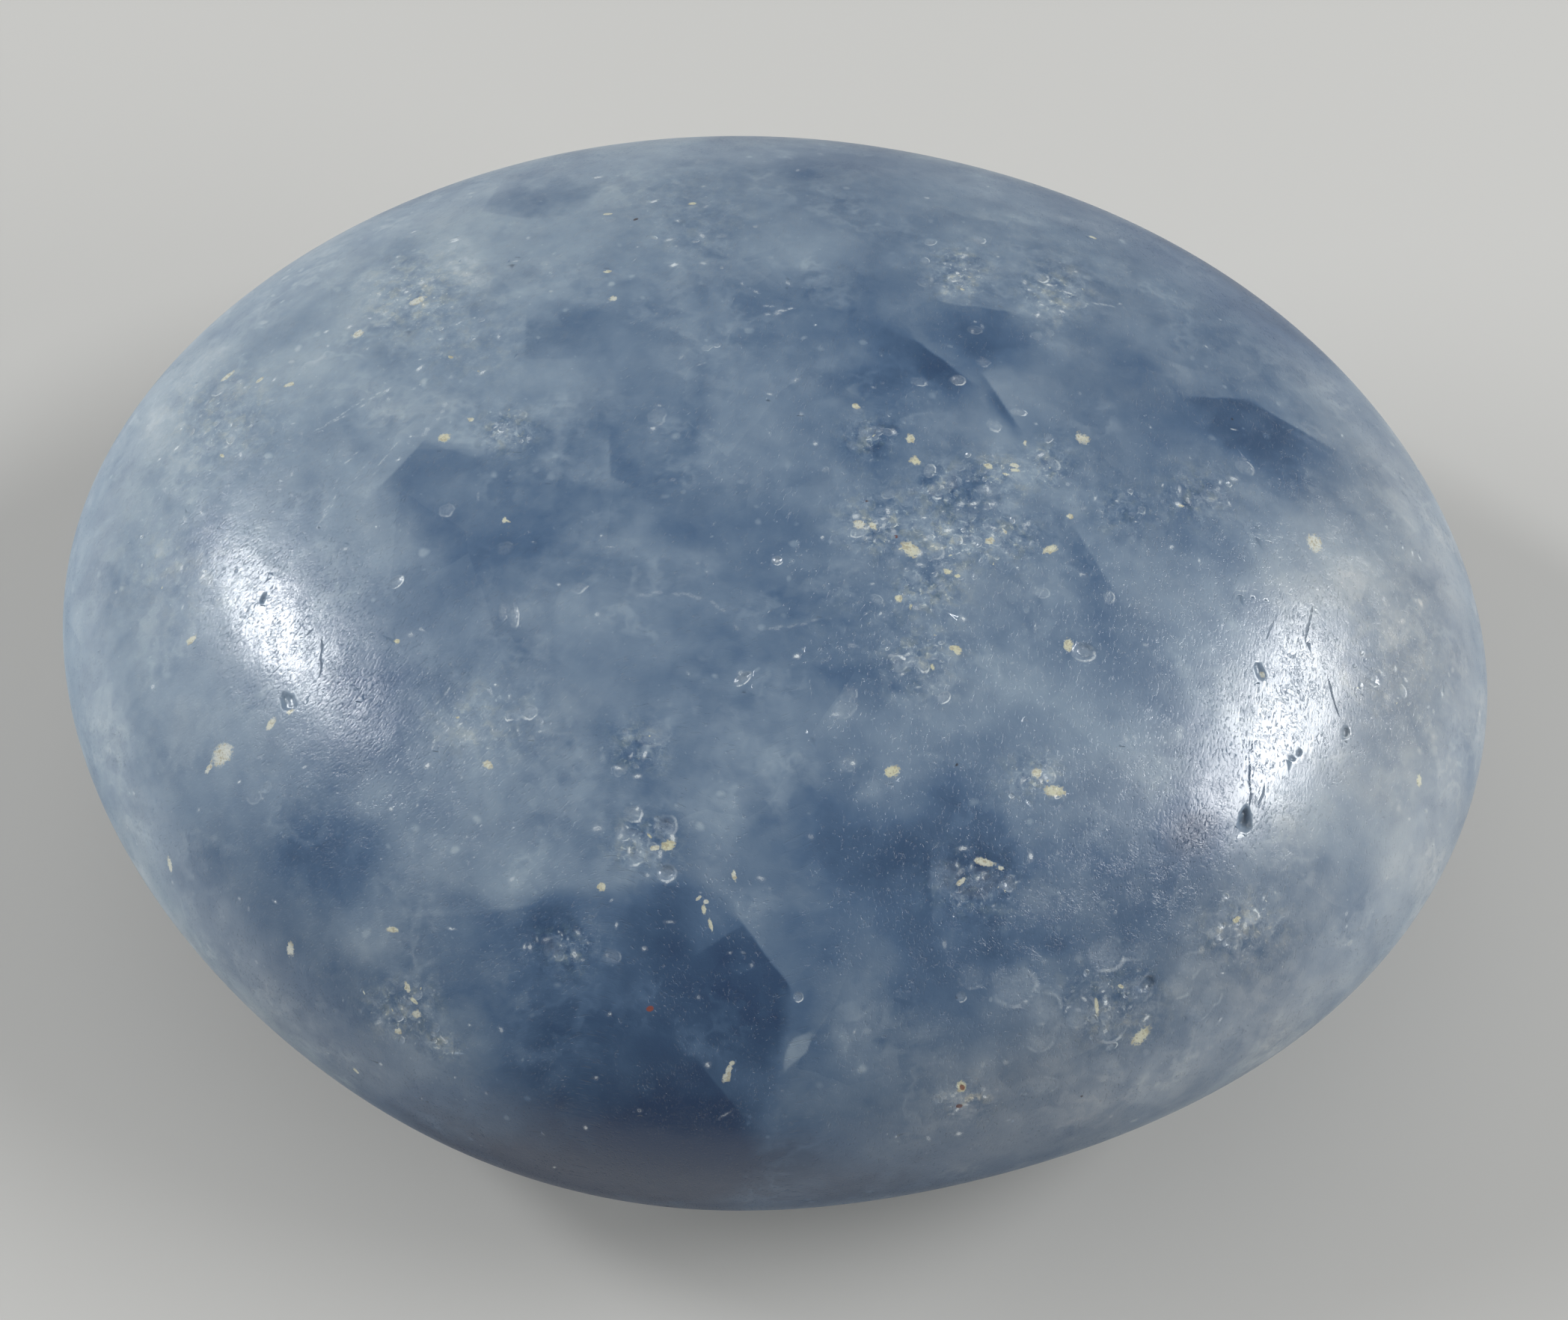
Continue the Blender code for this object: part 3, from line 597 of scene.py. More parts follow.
    (254, 1172, 1.2, 1.2, 0, -0.13), (893, 1123, 0.9, 0.8, 0, -0.12), (900, 1210, 1.5, 0.9, 0, -0.09),
    (1256, 787, 0.9, 1.0, 0, -0.12), (1295, 1074, 1.4, 1.1, 0, -0.12), (1360, 965, 1.4, 0.9, 0, -0.08),
    (1505, 925, 1.4, 1.6, 0, -0.06), (1100, 1125, 2.0, 1.4, 0, -0.05), (1330, 1165, 1.6, 1.0, 0, -0.11),
    (1575, 1195, 1.4, 1.1, 0, -0.12), (1526, 1318, 0.7, 0.7, 0, -0.1),
    (1484, 1273, 1.2, 1.0, 0, -0.08), (1364, 1475, 1.4, 1.1, 0, -0.09),
    (1215, 1330, 1.3, 1.2, 0, -0.08), (1185, 1455, 1.3, 1.0, 0, -0.08),
    (780, 1505, 2.4, 1.2, -10, -0.08), (500, 1380, 1.1, 1.0, 0, -0.1),
    (440, 1348, 1.6, 1.2, -40, -0.08),
)
# Milky patches; those along the left, right and top rims are painted light, the glow of the edge
MILKY_AND_LIT_PATCHES = (
    (1725, 1085, 2.2, 1.4, 20, 0.05), (1805, 960, 1.0, 2.4, 0, 0.04), (1760, 860, 1.4, 1.0, 0, 0.05),
    (392, 890, 0.9, 1.5, 30, 0.05), (1650, 1270, 1.6, 1.0, 0, 0.03), (600, 640, 2.5, 2.0, 0, 0.035),
    (1100, 720, 1.6, 1.2, 0, 0.03), (960, 870, 3.0, 1.6, -20, 0.03), (1515, 1343, 1.8, 1.2, 0, 0.03),
    (1364, 1160, 1.6, 1.0, 0, 0.03), (1030, 430, 1.4, 1.2, 0, 0.03), (170, 1165, 3.2, 1.5, -72, 0.11),
    (245, 1280, 3.5, 1.5, -50, 0.11), (390, 1395, 4.0, 1.4, -38, 0.08), (94, 960, 2.8, 1.1, -82, 0.08),
    (570, 1485, 3.0, 1.4, -28, 0.06), (1215, 1575, 3.2, 1.3, 12, 0.1), (850, 1592, 4.5, 1.0, 3, 0.05),
    (1330, 1530, 3.0, 1.5, 20, 0.06), (1000, 1588, 3.0, 1.0, 0, 0.11), (1885, 1195, 2.4, 1.3, 58, 0.06),
    (850, 1120, 1.8, 1.7, 0, 0.09), (960, 1110, 1.7, 2.6, 0, 0.07), (1130, 1335, 2.4, 2.0, 0, 0.05),
    (950, 1205, 1.0, 1.2, -50, 0.1), (1360, 1320, 1.5, 1.2, 0, 0.05), (450, 480, 5.0, 3.0, 25, 0.1),
    (400, 620, 5.5, 3.6, 20, 0.06), (600, 370, 4.0, 2.4, 15, 0.12), (720, 330, 3.2, 1.4, 0, 0.06),
    (640, 500, 3.6, 1.8, 0, 0.05), (1010, 590, 3.2, 2.8, 0, 0.04), (1290, 350, 1.8, 1.5, 0, 0.13),
    (1385, 400, 2.4, 1.0, -20, 0.12), (1370, 620, 2.6, 2.6, -20, 0.09), (1285, 730, 3.6, 2.2, 0, 0.1),
    (1160, 690, 2.2, 1.2, 0, 0.09), (1230, 860, 2.2, 1.4, 0, 0.06), (1350, 925, 3.0, 1.3, -12, 0.08),
    (1480, 990, 4.4, 2.2, 0, 0.08), (1628, 607, 1.1, 0.9, -30, 0.1), (640, 960, 3.6, 1.9, 0, 0.06),
    (680, 1030, 3.6, 1.8, 0, 0.05), (500, 1060, 1.4, 0.7, 30, 0.08), (1128, 945, 1.0, 1.0, 0, 0.07),
    (850, 760, 2.8, 0.9, 10, 0.05), (1190, 1290, 1.2, 0.8, 0, 0.04), (1390, 1200, 1.8, 1.4, 0, 0.06),
    (628, 1370, 0.8, 1.1, 0, 0.07), (540, 1340, 1.8, 1.4, 0, 0.08), (480, 1240, 1.6, 1.2, -10, 0.05),
    (1500, 1440, 5.0, 1.6, 18, 0.08), (1290, 1450, 1.8, 1.4, 0, 0.06), (1690, 1300, 4.2, 2.2, 48, 0.07),
    (830, 240, 2.0, 0.7, 15, 0.07), (1420, 270, 4.2, 0.9, -18, 0.05), (240, 700, 2.2, 3.4, 40, 0.06),
    (165, 880, 1.5, 4.0, 0, 0.06), (235, 1000, 1.4, 2.0, 0, 0.06), (230, 520, 8.0, 5.0, 48, 0.1),
    (140, 860, 4.0, 14.0, 0, 0.07), (420, 410, 6.0, 3.4, 38, 0.05), (240, 1130, 4.6, 6.0, 0, 0.08),
    (640, 300, 7.0, 2.4, 18, 0.1), (815, 300, 2.6, 1.7, 0, 0.11), (1092, 365, 1.8, 1.3, 0, 0.15),
    (790, 800, 3.0, 1.5, 0, 0.12), (470, 660, 2.0, 3.4, 0, 0.12), (545, 735, 1.8, 1.5, 0, 0.12),
    (545, 560, 1.8, 1.5, 0, 0.1), (480, 1255, 2.2, 1.7, 0, 0.14), (560, 1400, 2.4, 1.6, -20, 0.1),
    (1880, 900, 4.0, 12.0, 0, 0.14), (1830, 740, 2.6, 2.8, 0, 0.1), (1880, 1180, 2.2, 2.8, 0, 0.12),
    (1000, 1010, 1.8, 2.4, 0, 0.08), (700, 1170, 2.6, 1.4, 0, 0.08), (1380, 870, 2.0, 1.6, 0, 0.08),
    (1290, 270, 2.4, 1.1, 0, 0.06), (690, 560, 1.2, 1.2, 0, 0.03), (1500, 1465, 3.0, 1.3, 15, 0.07),
    (320, 1010, 1.6, 2.6, 0, 0.11), (190, 1240, 2.4, 3.4, -40, 0.12), (480, 1265, 1.3, 1.0, 0, 0.07),
    (1655, 900, 2.2, 4.0, 0, 0.05), (1065, 1070, 1.4, 1.6, 0, 0.06), (690, 1224, 0.7, 0.5, 0, 0.14),
    (1750, 730, 3.0, 2.6, 0, 0.09), (1455, 680, 1.4, 1.6, 0, 0.08), (880, 250, 4.4, 2.4, 0, 0.08),
    (470, 430, 2.2, 2.8, 0, 0.04), (660, 520, 2.2, 2.4, 0, 0.07), (920, 470, 1.6, 1.4, 0, 0.05),
    (850, 690, 2.0, 1.4, 0, 0.06), (600, 750, 1.2, 0.9, 0, 0.08), (540, 1140, 1.6, 2.2, 0, 0.09),
    (1480, 380, 2.8, 1.6, -20, 0.06), (465, 322, 1.8, 0.8, 28, 0.1), (300, 435, 2.4, 1.0, 42, 0.07),
    (610, 1400, 2.0, 1.6, 0, 0.1), (780, 1330, 1.8, 1.0, 0, 0.09), (745, 1170, 1.8, 1.1, 0, 0.08),
    (480, 1275, 1.2, 1.0, 0, 0.06), (340, 1180, 1.0, 1.4, 0, 0.1), (1150, 1360, 1.2, 1.8, 0, 0.06),
    (930, 1260, 1.0, 0.8, 0, 0.06), (750, 660, 1.2, 1.8, 0, 0.06), (465, 660, 1.2, 1.4, 0, 0.06),
    (1280, 965, 1.2, 1.2, 0, 0.06), (1830, 1040, 1.2, 2.0, 0, 0.09), (1740, 1110, 1.8, 1.4, 0, 0.08),
    (1670, 650, 1.4, 1.0, 0, 0.1), (235, 525, 2.2, 2.2, 45, 0.08), (310, 835, 1.6, 2.0, 0, 0.06),
    (360, 725, 1.6, 1.6, 0, 0.05), (310, 1150, 1.4, 1.8, 0, 0.07), (1100, 740, 1.2, 1.0, 0, 0.05),
    (1210, 1030, 1.6, 1.6, 0, 0.06), (1030, 1150, 1.0, 1.0, 0, 0.06), (1360, 1340, 2.0, 1.4, 0, 0.05),
    (1100, 1450, 1.2, 1.8, 0, 0.05), (1410, 1270, 1.2, 1.2, 0, 0.05), (150, 1180, 2.0, 4.0, 30, 0.14),
    (1780, 800, 1.4, 1.2, 0, 0.06), (1940, 830, 1.4, 4.0, 0, 0.08), (1660, 1090, 1.6, 1.6, 0, 0.06),
    (1660, 1280, 1.6, 1.4, 0, 0.06), (205, 790, 1.8, 1.6, 10, 0.07), (375, 370, 2.4, 0.9, 40, 0.07),
    (380, 950, 2.4, 2.0, 0, 0.05), (1820, 760, 3.0, 3.0, 0, 0.05), (330, 1370, 3.0, 2.4, -45, 0.07),
    (240, 1270, 2.0, 2.0, -45, 0.08), (1660, 1130, 1.6, 2.2, 0, 0.05), (620, 375, 1.2, 1.0, 0, 0.06),
    (720, 770, 1.6, 1.6, 0, 0.04), (440, 503, 2.0, 0.9, 12, 0.11), (515, 575, 1.0, 1.1, 0, 0.11),
    (255, 645, 1.2, 0.9, 30, 0.09), (225, 610, 1.0, 0.9, 0, 0.08), (720, 432, 1.6, 1.3, 0, 0.08),
    (740, 930, 1.6, 3.0, 0, 0.05), (763, 360, 1.3, 1.0, 0, 0.08), (921, 355, 1.0, 0.8, 0, 0.08),
    (940, 480, 1.3, 0.8, 20, 0.09), (855, 437, 1.2, 1.0, 0, 0.08), (855, 592, 0.9, 1.2, 0, 0.08),
    (795, 1280, 1.8, 1.2, 0, 0.06), (890, 200, 2.6, 0.6, 0, 0.08), (1280, 965, 1.4, 1.0, 0, 0.04),
    (845, 722, 1.2, 0.8, 0, 0.13), (760, 705, 1.6, 1.2, 0, 0.08), (1213, 452, 1.4, 0.8, 0, 0.13),
    (1283, 435, 1.2, 0.9, 0, 0.06), (1386, 436, 1.2, 0.9, -30, 0.1), (1128, 565, 1.0, 0.9, 0, 0.08),
    (1050, 648, 1.6, 0.9, 15, 0.08), (1255, 695, 1.1, 0.9, 0, 0.12), (1305, 706, 0.9, 0.9, 0, 0.12),
    (1350, 657, 1.0, 0.9, 0, 0.08), (1228, 621, 0.9, 0.9, 0, 0.07), (1205, 782, 1.0, 0.8, 0, 0.09),
    (1500, 738, 0.9, 1.4, -20, 0.1), (1398, 768, 1.2, 1.0, 0, 0.08), (1700, 665, 2.4, 1.0, 0, 0.05),
    (1675, 557, 0.8, 0.7, 0, 0.09), (1484, 315, 1.4, 1.0, 0, 0.07), (670, 790, 1.4, 1.2, 0, 0.08),
    (300, 838, 0.9, 1.4, 0, 0.05), (470, 870, 1.0, 0.9, 0, 0.07), (488, 1072, 1.0, 0.8, 0, 0.08),
    (840, 1180, 1.2, 0.9, 0, 0.12), (640, 1268, 1.3, 1.1, 0, 0.09), (90, 930, 0.9, 4.0, 0, 0.1),
    (1022, 1285, 0.9, 0.9, 0, 0.06), (415, 1403, 3.0, 1.1, -45, 0.1), (340, 1325, 2.0, 1.0, -50, 0.06),
    (1199, 1062, 1.1, 0.9, 0, 0.09), (1380, 915, 1.4, 0.9, 0, 0.05), (1420, 1280, 1.2, 1.1, 0, 0.08),
    (1430, 1410, 0.9, 1.6, 0, 0.08), (1690, 1180, 1.2, 1.2, 0, 0.08), (1743, 1360, 3.0, 1.0, 40, 0.08),
    (1635, 1405, 2.0, 1.0, 35, 0.08), (1140, 1335, 1.4, 1.2, 0, 0.06), (1285, 1355, 1.4, 1.2, 0, 0.07),
)

# Patches that end at cleavage edges. Each edge runs from one pixel to another, and has its blur in
# millimetres if it isn't crisp.
EDGED_PATCHES = (
    (830, 1365, 9.0, 6.0, -3, -0.23, ((992, 1234, 1053, 1316), (1058, 1318, 1040, 1400, 0.3))),
    (990, 1320, 2.9, 3.7, 0, -0.2, ((992, 1234, 1053, 1316), (1056, 1318, 1046, 1400, 0.2))),
    (850, 1455, 5.6, 3.4, -8, -0.18, ((940, 1428, 990, 1488),)),
    (885, 1235, 2.3, 2.2, 0, -0.14, ((853, 1180, 939, 1180, 0.14),)),
    (620, 1290, 4.6, 3.0, 0, -0.1, ((480, 1229, 654, 1221, 0.08),)),
    (760, 1222, 3.2, 1.2, 0, -0.08, ((702, 1194, 848, 1187, 0.08),)),
    (650, 690, 6.0, 3.8, 0, -0.13, ((510, 648, 566, 590), (568, 589, 700, 598))),
    (552, 640, 2.0, 1.5, 45, -0.14, ((510, 648, 566, 590),)),
    (745, 442, 3.2, 1.6, 4, -0.12, ((690, 479, 760, 480), (703, 430, 701, 478))),
    (1250, 490, 2.3, 1.2, -32, -0.24, ((1226, 456, 1296, 508),)),
    (1310, 440, 3.3, 1.6, 6, -0.23, ((1262, 404, 1345, 416),)),
    (1337, 540, 1.5, 0.36, -57, -0.3, ((1319, 506, 1356, 562),)),
    (1680, 575, 3.9, 2.0, -36, -0.26, ((1688, 546, 1782, 600), (1597, 530, 1690, 534))),
    (1215, 1190, 3.0, 2.4, 0, -0.12, ((1243, 1140, 1247, 1230),)),
    (735, 262, 3.2, 1.1, 12, -0.19,
     ((640, 281, 700, 292), (700, 292, 764, 288, 0.12), (764, 288, 806, 250, 0.4),
      (640, 290, 672, 240))),
    (838, 618, 1.1, 1.3, 0, -0.16, ((814, 586, 816, 638), (816, 637, 853, 652))),
    (780, 680, 1.6, 1.5, 0, -0.05, ((738, 648, 815, 640),)),
    (1130, 870, 3.6, 2.4, 10, -0.11, ((1028, 842, 1107, 827),)),
    (1455, 745, 2.2, 1.1, -52, -0.2, ((1440, 712, 1496, 800),)),
    (1015, 1290, 1.9, 1.6, -52, -0.05, ((994, 1235, 1060, 1318), (993, 1236, 930, 1276))),
    (965, 1300, 3.0, 1.6, -20, 0.02, ((993, 1236, 930, 1276),)),
    (1215, 485, 2.6, 1.5, -34, -0.06, ((1226, 456, 1296, 508),)),
    (1310, 440, 2.6, 1.2, 6, -0.03, ((1262, 404, 1345, 416),)),
    (655, 1130, 5.4, 2.9, 4, 0.1, ((560, 1224, 700, 1210),)),
    (675, 1200, 1.2, 1.0, 0, 0.1, ((646, 1222, 704, 1212),)),
    (680, 1190, 1.4, 1.5, 0, 0.09, ((640, 1217, 700, 1212),)),
    (600, 560, 3.0, 1.4, 20, 0.06, ((560, 600, 700, 600),)),
    (612, 590, 1.5, 0.9, -10, 0.1, ((566, 590, 636, 611), (636, 611, 662, 602))),
    (760, 615, 2.2, 1.5, 0, 0.06, ((733, 641, 816, 646), (816, 586, 817, 640))),
    (770, 560, 2.6, 1.8, 0, 0.04, ((815, 590, 815, 650),)),
    (1765, 550, 3.0, 2.6, -38, 0.08, ((1688, 546, 1782, 600),)),
    (790, 1540, 1.4, 0.5, -32, 0.1, ((760, 1520, 820, 1566),)),
    (1065, 1405, 1.3, 0.9, 56, 0.24,
     ((1047, 1426, 1050, 1404), (1050, 1404, 1060, 1388), (1060, 1388, 1078, 1380),
      (1084, 1388, 1078, 1407), (1078, 1407, 1053, 1429))),
    (950, 1240, 1.7, 1.1, -45, 0.13, ((993, 1236, 930, 1276),)),
)

# Where the stone is greyer than elsewhere: pixel, half length and half width, turn, share
GREY_PATCHES = (
    (1900, 950, 6.0, 17.0, 0, 0.85),
    (1650, 1350, 12.0, 7.0, 40, 0.9),
    (1400, 1480, 9.0, 5.0, 20, 1.0),
    (1600, 560, 9.0, 5.0, -35, 0.25),
    (400, 1330, 6.0, 4.0, -45, 0.5),
)

# Where the polish is worn by fine scratches: pixel, half length and half width, turn, share
WORN_PATCHES = (
    (1742, 922, 1.8, 1.1, 70, 0.8),
    (322, 782, 1.2, 0.9, -55, 0.3),
    (460, 900, 2.2, 1.2, -50, 0.4),
)

# Milk and greyness where no patch changes them
EVEN_MILK = 0.50
EVEN_GREY = 0.25

# How a patch fades from its middle, and how far and over what size its rim wanders, if its half
# width is that of a wide patch or more. A narrower one wanders less.
PATCH_FALL = 2.4
PATCH_DRIFT = 0.55
PATCH_DRIFT_SIZE = 2.6 * MM
WIDE_PATCH = 2.5

# Blur of a crisp edge and what each millimetre past its ends adds to it, and its own wandering
EDGE_BLUR = 0.06
EDGE_SOFTENING = 0.3
EDGE_WOBBLE = 0.05
EDGE_WOBBLE_SIZE = 0.8 * MM

# Pixels of the photograph to a millimetre of the stone
PIXELS_PER_MM = 27.0

# Random marks: how many, and the shares of a swarm that are rings and dots
SWARM_RINGS = 0.36
SWARM_DOTS = 0.57
FAINT_DOTS = 150
HIDDEN_RINGS = 110
HIDDEN_DOTS = 120
HIDDEN_GRAINS = 40
HIDDEN_VUGS = 10

# Of a mark of a line, its length in millimetres and the step to the next
LINE_MARK = 0.45
LINE_STEP = 0.25

# Of a dot in the table, the share that is left after its halo
DOT_CORE = 0.8

# The mesh at a vug or an edge is as fine as at a mark of this half width. An edge is followed in
# steps, each with its reach, and a patch is small if its half width is less than that given here.
VUG_FINENESS = 0.1 * MM
EDGE_FINENESS = 0.1 * MM
EDGE_REACH = 0.12 * MM
EDGE_STEP = 0.2
SMALL_PATCH = 0.8

# Crowding at which a swarm is all froth, and the place in a mark that counts as far off
FULL_CROWD = 5.5
FAR_OFF = 3.0

# How far a surface faces the camera where its seen patches end, where they are whole, and where
# the hidden marks begin
SEEN_FROM = -0.12
SEEN_TO = 0.08
HIDDEN_FROM = -0.05


def scatter_swarms(surface, dice, marks):
    """Tiny rings, dots and grains, crowded where the swarms are."""
    for px, py, spread, count in SWARMS:
        for _ in range(count):
            x = px + dice.gauss(0, spread / 2) * PIXELS_PER_MM
            y = py + dice.gauss(0, spread / 2.6) * PIXELS_PER_MM
            size = 0.18 + 0.50 * dice.random() ** 2
            turn = dice.uniform(0, 180)
            shape = dice.uniform(0.55, 1.0)
            strength = dice.uniform(0.2, 0.9)
            if seen_place(surface, x, y)[0] is None:
                continue
            share = dice.random()
            kind, length, width, bright = "dot", size * 0.8, size * 0.5 * shape, 0.0
            if share < SWARM_RINGS:
                bright = dice.uniform(-110, 40) - turn
                kind, length, width = "ring", size * 1.5, size * 1.5 * shape
            elif share >= SWARM_RINGS + SWARM_DOTS:
                kind = "grain"
            mark = seen_mark(surface, x, y, length, width, turn, tone=strength, bright=bright)
            marks[kind].append(mark)


def scatter_faint_dots(surface, dice, marks):
    """Faint white dots, partly specks and partly painted glints, all over the side that the camera
    sees.
    """
    for _ in range(FAINT_DOTS):
        x, y = dice.uniform(150, 1930), dice.uniform(220, 1560)
        size = 0.12 + 0.16 * dice.random() ** 2
        turn, tone = dice.uniform(0, 180), dice.uniform(0.15, 0.55)
        if seen_place(surface, x, y)[0] is not None:
            length = size * dice.uniform(1.0, 2.2)
            marks["dot"].append(seen_mark(surface, x, y, length, size, turn, tone=tone))


def scatter_hidden(surface, dice, marks):
    """Marks on the sides that the camera doesn't see, in the manner of those that it sees."""
    for _ in range(HIDDEN_RINGS):
        size = 0.5 + 0.9 * dice.random() ** 2
        width = size * dice.uniform(0.6, 1.0)
        way = dice.uniform(0, 360)
        tone = dice.uniform(0.2, 0.8)
        marks["ring"].append(hidden_mark(surface, dice, size, width, tone=tone, bright=way))
    for _ in range(HIDDEN_DOTS):
        size = 0.3 + 0.4 * dice.random() ** 2
        width = size * dice.uniform(0.5, 1.0)
        tone = dice.uniform(0.3, 0.9)
        marks["dot"].append(hidden_mark(surface, dice, size, width, tone=tone))
    for _ in range(HIDDEN_GRAINS):
        size = 0.35 + 0.7 * dice.random() ** 2
        width = size * dice.uniform(0.5, 0.95)
        marks["grain"].append(hidden_mark(surface, dice, size, width, tone=dice.random()))
    for _ in range(HIDDEN_VUGS):
        size = dice.uniform(0.5, 1.0)
        width = size * dice.uniform(0.6, 0.9)
        depth = dice.uniform(0.15, 0.3)
        marks["vug"].append(hidden_mark(surface, dice, size, width, depth=depth))


def line_marks(surface, lines, gaps=0.0, jitter=0.0):
    """Short marks end to end along each line of pixels, with the line's own tone. Some are left
    out, for a share of gaps, and the rest moved by up to jitter pixels."""
    dice = random.Random(LINE_SEED)
    made = []
    for pixels, width, tone in lines:
        for (x0, y0), (x1, y1) in zip(pixels, pixels[1:]):
            steps = max(1, round(math.hypot(x1 - x0, y1 - y0) / (LINE_STEP * PIXELS_PER_MM)))
            turn = math.degrees(math.atan2(y0 - y1, x1 - x0))
            for step in range(steps):
                share = (step + 0.5) / steps
                x = x0 + (x1 - x0) * share + dice.uniform(-jitter, jitter)
                y = y0 + (y1 - y0) * share + dice.uniform(-jitter, jitter)
                if dice.random() >= gaps:
                    made.append(seen_mark(surface, x, y, LINE_MARK, width, turn, tone=tone))
    return made


def place_tables(surface, marks):
    """The marks of the tables, each where the photograph shows it."""
    dice = random.Random(TONE_SEED)
    for px, py, length, width, turn, warmth in GRAINS:
        marks["grain"].append(seen_mark(surface, px, py, length, width, turn, tone=warmth))
    for px, py, length, width, turn, tone in SPECKS:
        marks["speck"].append(seen_mark(surface, px, py, length, width, turn, tone=tone))
    for px, py, length, width, turn in WHITE_DOTS_AND_GLINTS:
        tone = dice.uniform(0.35, 1.0)
        size = DOT_CORE * length, DOT_CORE * width
        marks["dot"].append(seen_mark(surface, px, py, *size, turn, tone=tone))
    marks["dot"] += line_marks(surface, GLINTS, gaps=0.4, jitter=2.0)
    for px, py, length, width, turn, tone in RINGS:
        kinds = {"tone": tone, "bright": dice.uniform(-90, 10) - turn}
        marks["ring"].append(seen_mark(surface, px, py, length, width, turn, **kinds))
    for px, py, length, width, turn, depth, taper in VUGS:
        kinds = {"depth": depth, "taper": taper}
        marks["vug"].append(seen_mark(surface, px, py, length, width, turn, **kinds))
    marks["crack"] += line_marks(surface, CRACKS)


def all_marks(surface):
    """Every mark on the stone, by its kind."""
    marks = {kind: [] for kind in ("ring", "dot", "grain", "speck", "crack", "vug")}
    dice = random.Random(SCATTER_SEED)
    scatter_swarms(surface, dice, marks)
    scatter_faint_dots(surface, dice, marks)
    scatter_hidden(surface, dice, marks)
    place_tables(surface, marks)
    return marks


# Patches


def smooth_step(value, low, high):
    share = np.clip((value - low) / (high - low), 0, 1)
    return share * share * (3 - 2 * share)


def unevenness(points, size, octaves=3):
    """Smooth random numbers of about -1 to 1, three for each point, that vary over a size."""
    found = [noise.turbulence_vector(Vector(p) / size, octaves, False) for p in points]
    return np.array(found)


def edge_share(pixels, edge, inside, wobble):
    """1 on the inside of an edge and 0 past it. The edge is crisp between its two pixels, or has
    the blur in millimetres given after them, and softens beyond them."""
    start, end = np.array(edge[:2], float), np.array(edge[2:4], float)
    length = np.linalg.norm(end - start)
    along = (end - start) / length
    across = np.array((-along[1], along[0]))
    side = math.copysign(1.0, (np.array(inside) - start) @ across)
    distance = (pixels - start) @ across * side / PIXELS_PER_MM + wobble
    run = (pixels - start) @ along
    beyond = (np.clip(-run, 0, None) + np.clip(run - length, 0, None)) / PIXELS_PER_MM
    blur = (edge[4] if len(edge) > 4 else EDGE_BLUR) + EDGE_SOFTENING * beyond
    return smooth_step(distance / blur, -1, 1)


def place_in_patch(pixels, middle, half_length, half_width, turn):
    """How far pixels lie along a patch and across it, where 1 is its end or its side."""
    offset = (pixels - middle) * (1, -1) / PIXELS_PER_MM
    c, s = math.cos(math.radians(turn)), math.sin(math.radians(turn))
    along = (offset[:, 0] * c + offset[:, 1] * s) / half_length
    across = (offset[:, 1] * c - offset[:, 0] * s) / half_width
    return along, across


def milk_and_light_patches():
    """Every patch of milk, and of the painted light and shade along the rims, with its edges or with
    none.
    """
    return [(*patch, ()) for patch in CLEAR_AND_SHADED_PATCHES + MILKY_AND_LIT_PATCHES] + list(EDGED_PATCHES)


def milk_and_light_of(points, pixels):
    """The milk of the patches, with their painted light and shade along the rims, at points of the
    stone and at their pixels.
    """
    milk_and_light = np.full(len(pixels), EVEN_MILK)
    drift = unevenness(points, PATCH_DRIFT_SIZE)[:, :2] * PATCH_DRIFT * PIXELS_PER_MM
    wobble = unevenness(points, EDGE_WOBBLE_SIZE)[:, 0] * EDGE_WOBBLE
    for px, py, half_length, half_width, turn, change, edges in milk_and_light_patches():
        moved = pixels + drift * min(1.0, half_width / WIDE_PATCH)
        place = place_in_patch(moved, (px, py), half_length, half_width, turn)
        share = 0.5 ** (np.hypot(*place) ** PATCH_FALL)
        for edge in edges:
            share = share * edge_share(pixels, edge, (px, py), wobble)
        milk_and_light += change * share
    return milk_and_light


def froth_of(pixels):
    """How frothy the stone is with tiny bubbles, at an array of pixels."""
    froth = np.zeros(len(pixels))
    for px, py, spread, count in SWARMS:
        away = (pixels - (px, py)) / PIXELS_PER_MM / (spread * 0.7, spread * 0.55)
        crowd = min(1.0, count / (FULL_CROWD * spread**2))
        froth = np.maximum(froth, crowd * np.exp(-0.5 * (away**2).sum(axis=1)))
    return froth


def share_of(patches, pixels):
    """How much of the patches' tint or wear the stone has, from 0 to 1, at an array of pixels."""
    found = np.zeros(len(pixels))
    for px, py, half_length, half_width, turn, share in patches:
        along, across = place_in_patch(pixels, (px, py), half_length, half_width, turn)
        found = np.maximum(found, share * 0.5 ** (along**2 + across**2))
    return found


def store_patches(mesh, points):
    """Keeps milk with the painted light and shade along the rims, froth, tint and wear at the
    mesh's points, even past the side that is seen.
    """
    to_eye = np.array(EYE) - points
    facing = np.einsum("ij,ij->i", normals(mesh), to_eye) / np.linalg.norm(to_eye, axis=1)
    seen = smooth_step(facing, SEEN_FROM, SEEN_TO)
    pixels = photo_pixels(points)
    add_attribute(mesh, "seen", seen)
    add_attribute(mesh, "milk_and_light", EVEN_MILK + (milk_and_light_of(points, pixels) - EVEN_MILK) * seen)
    add_attribute(mesh, "froth", froth_of(pixels) * seen)
    add_attribute(mesh, "grey", EVEN_GREY + (share_of(GREY_PATCHES, pixels) - EVEN_GREY) * seen)
    add_attribute(mesh, "worn", share_of(WORN_PATCHES, pixels) * seen)


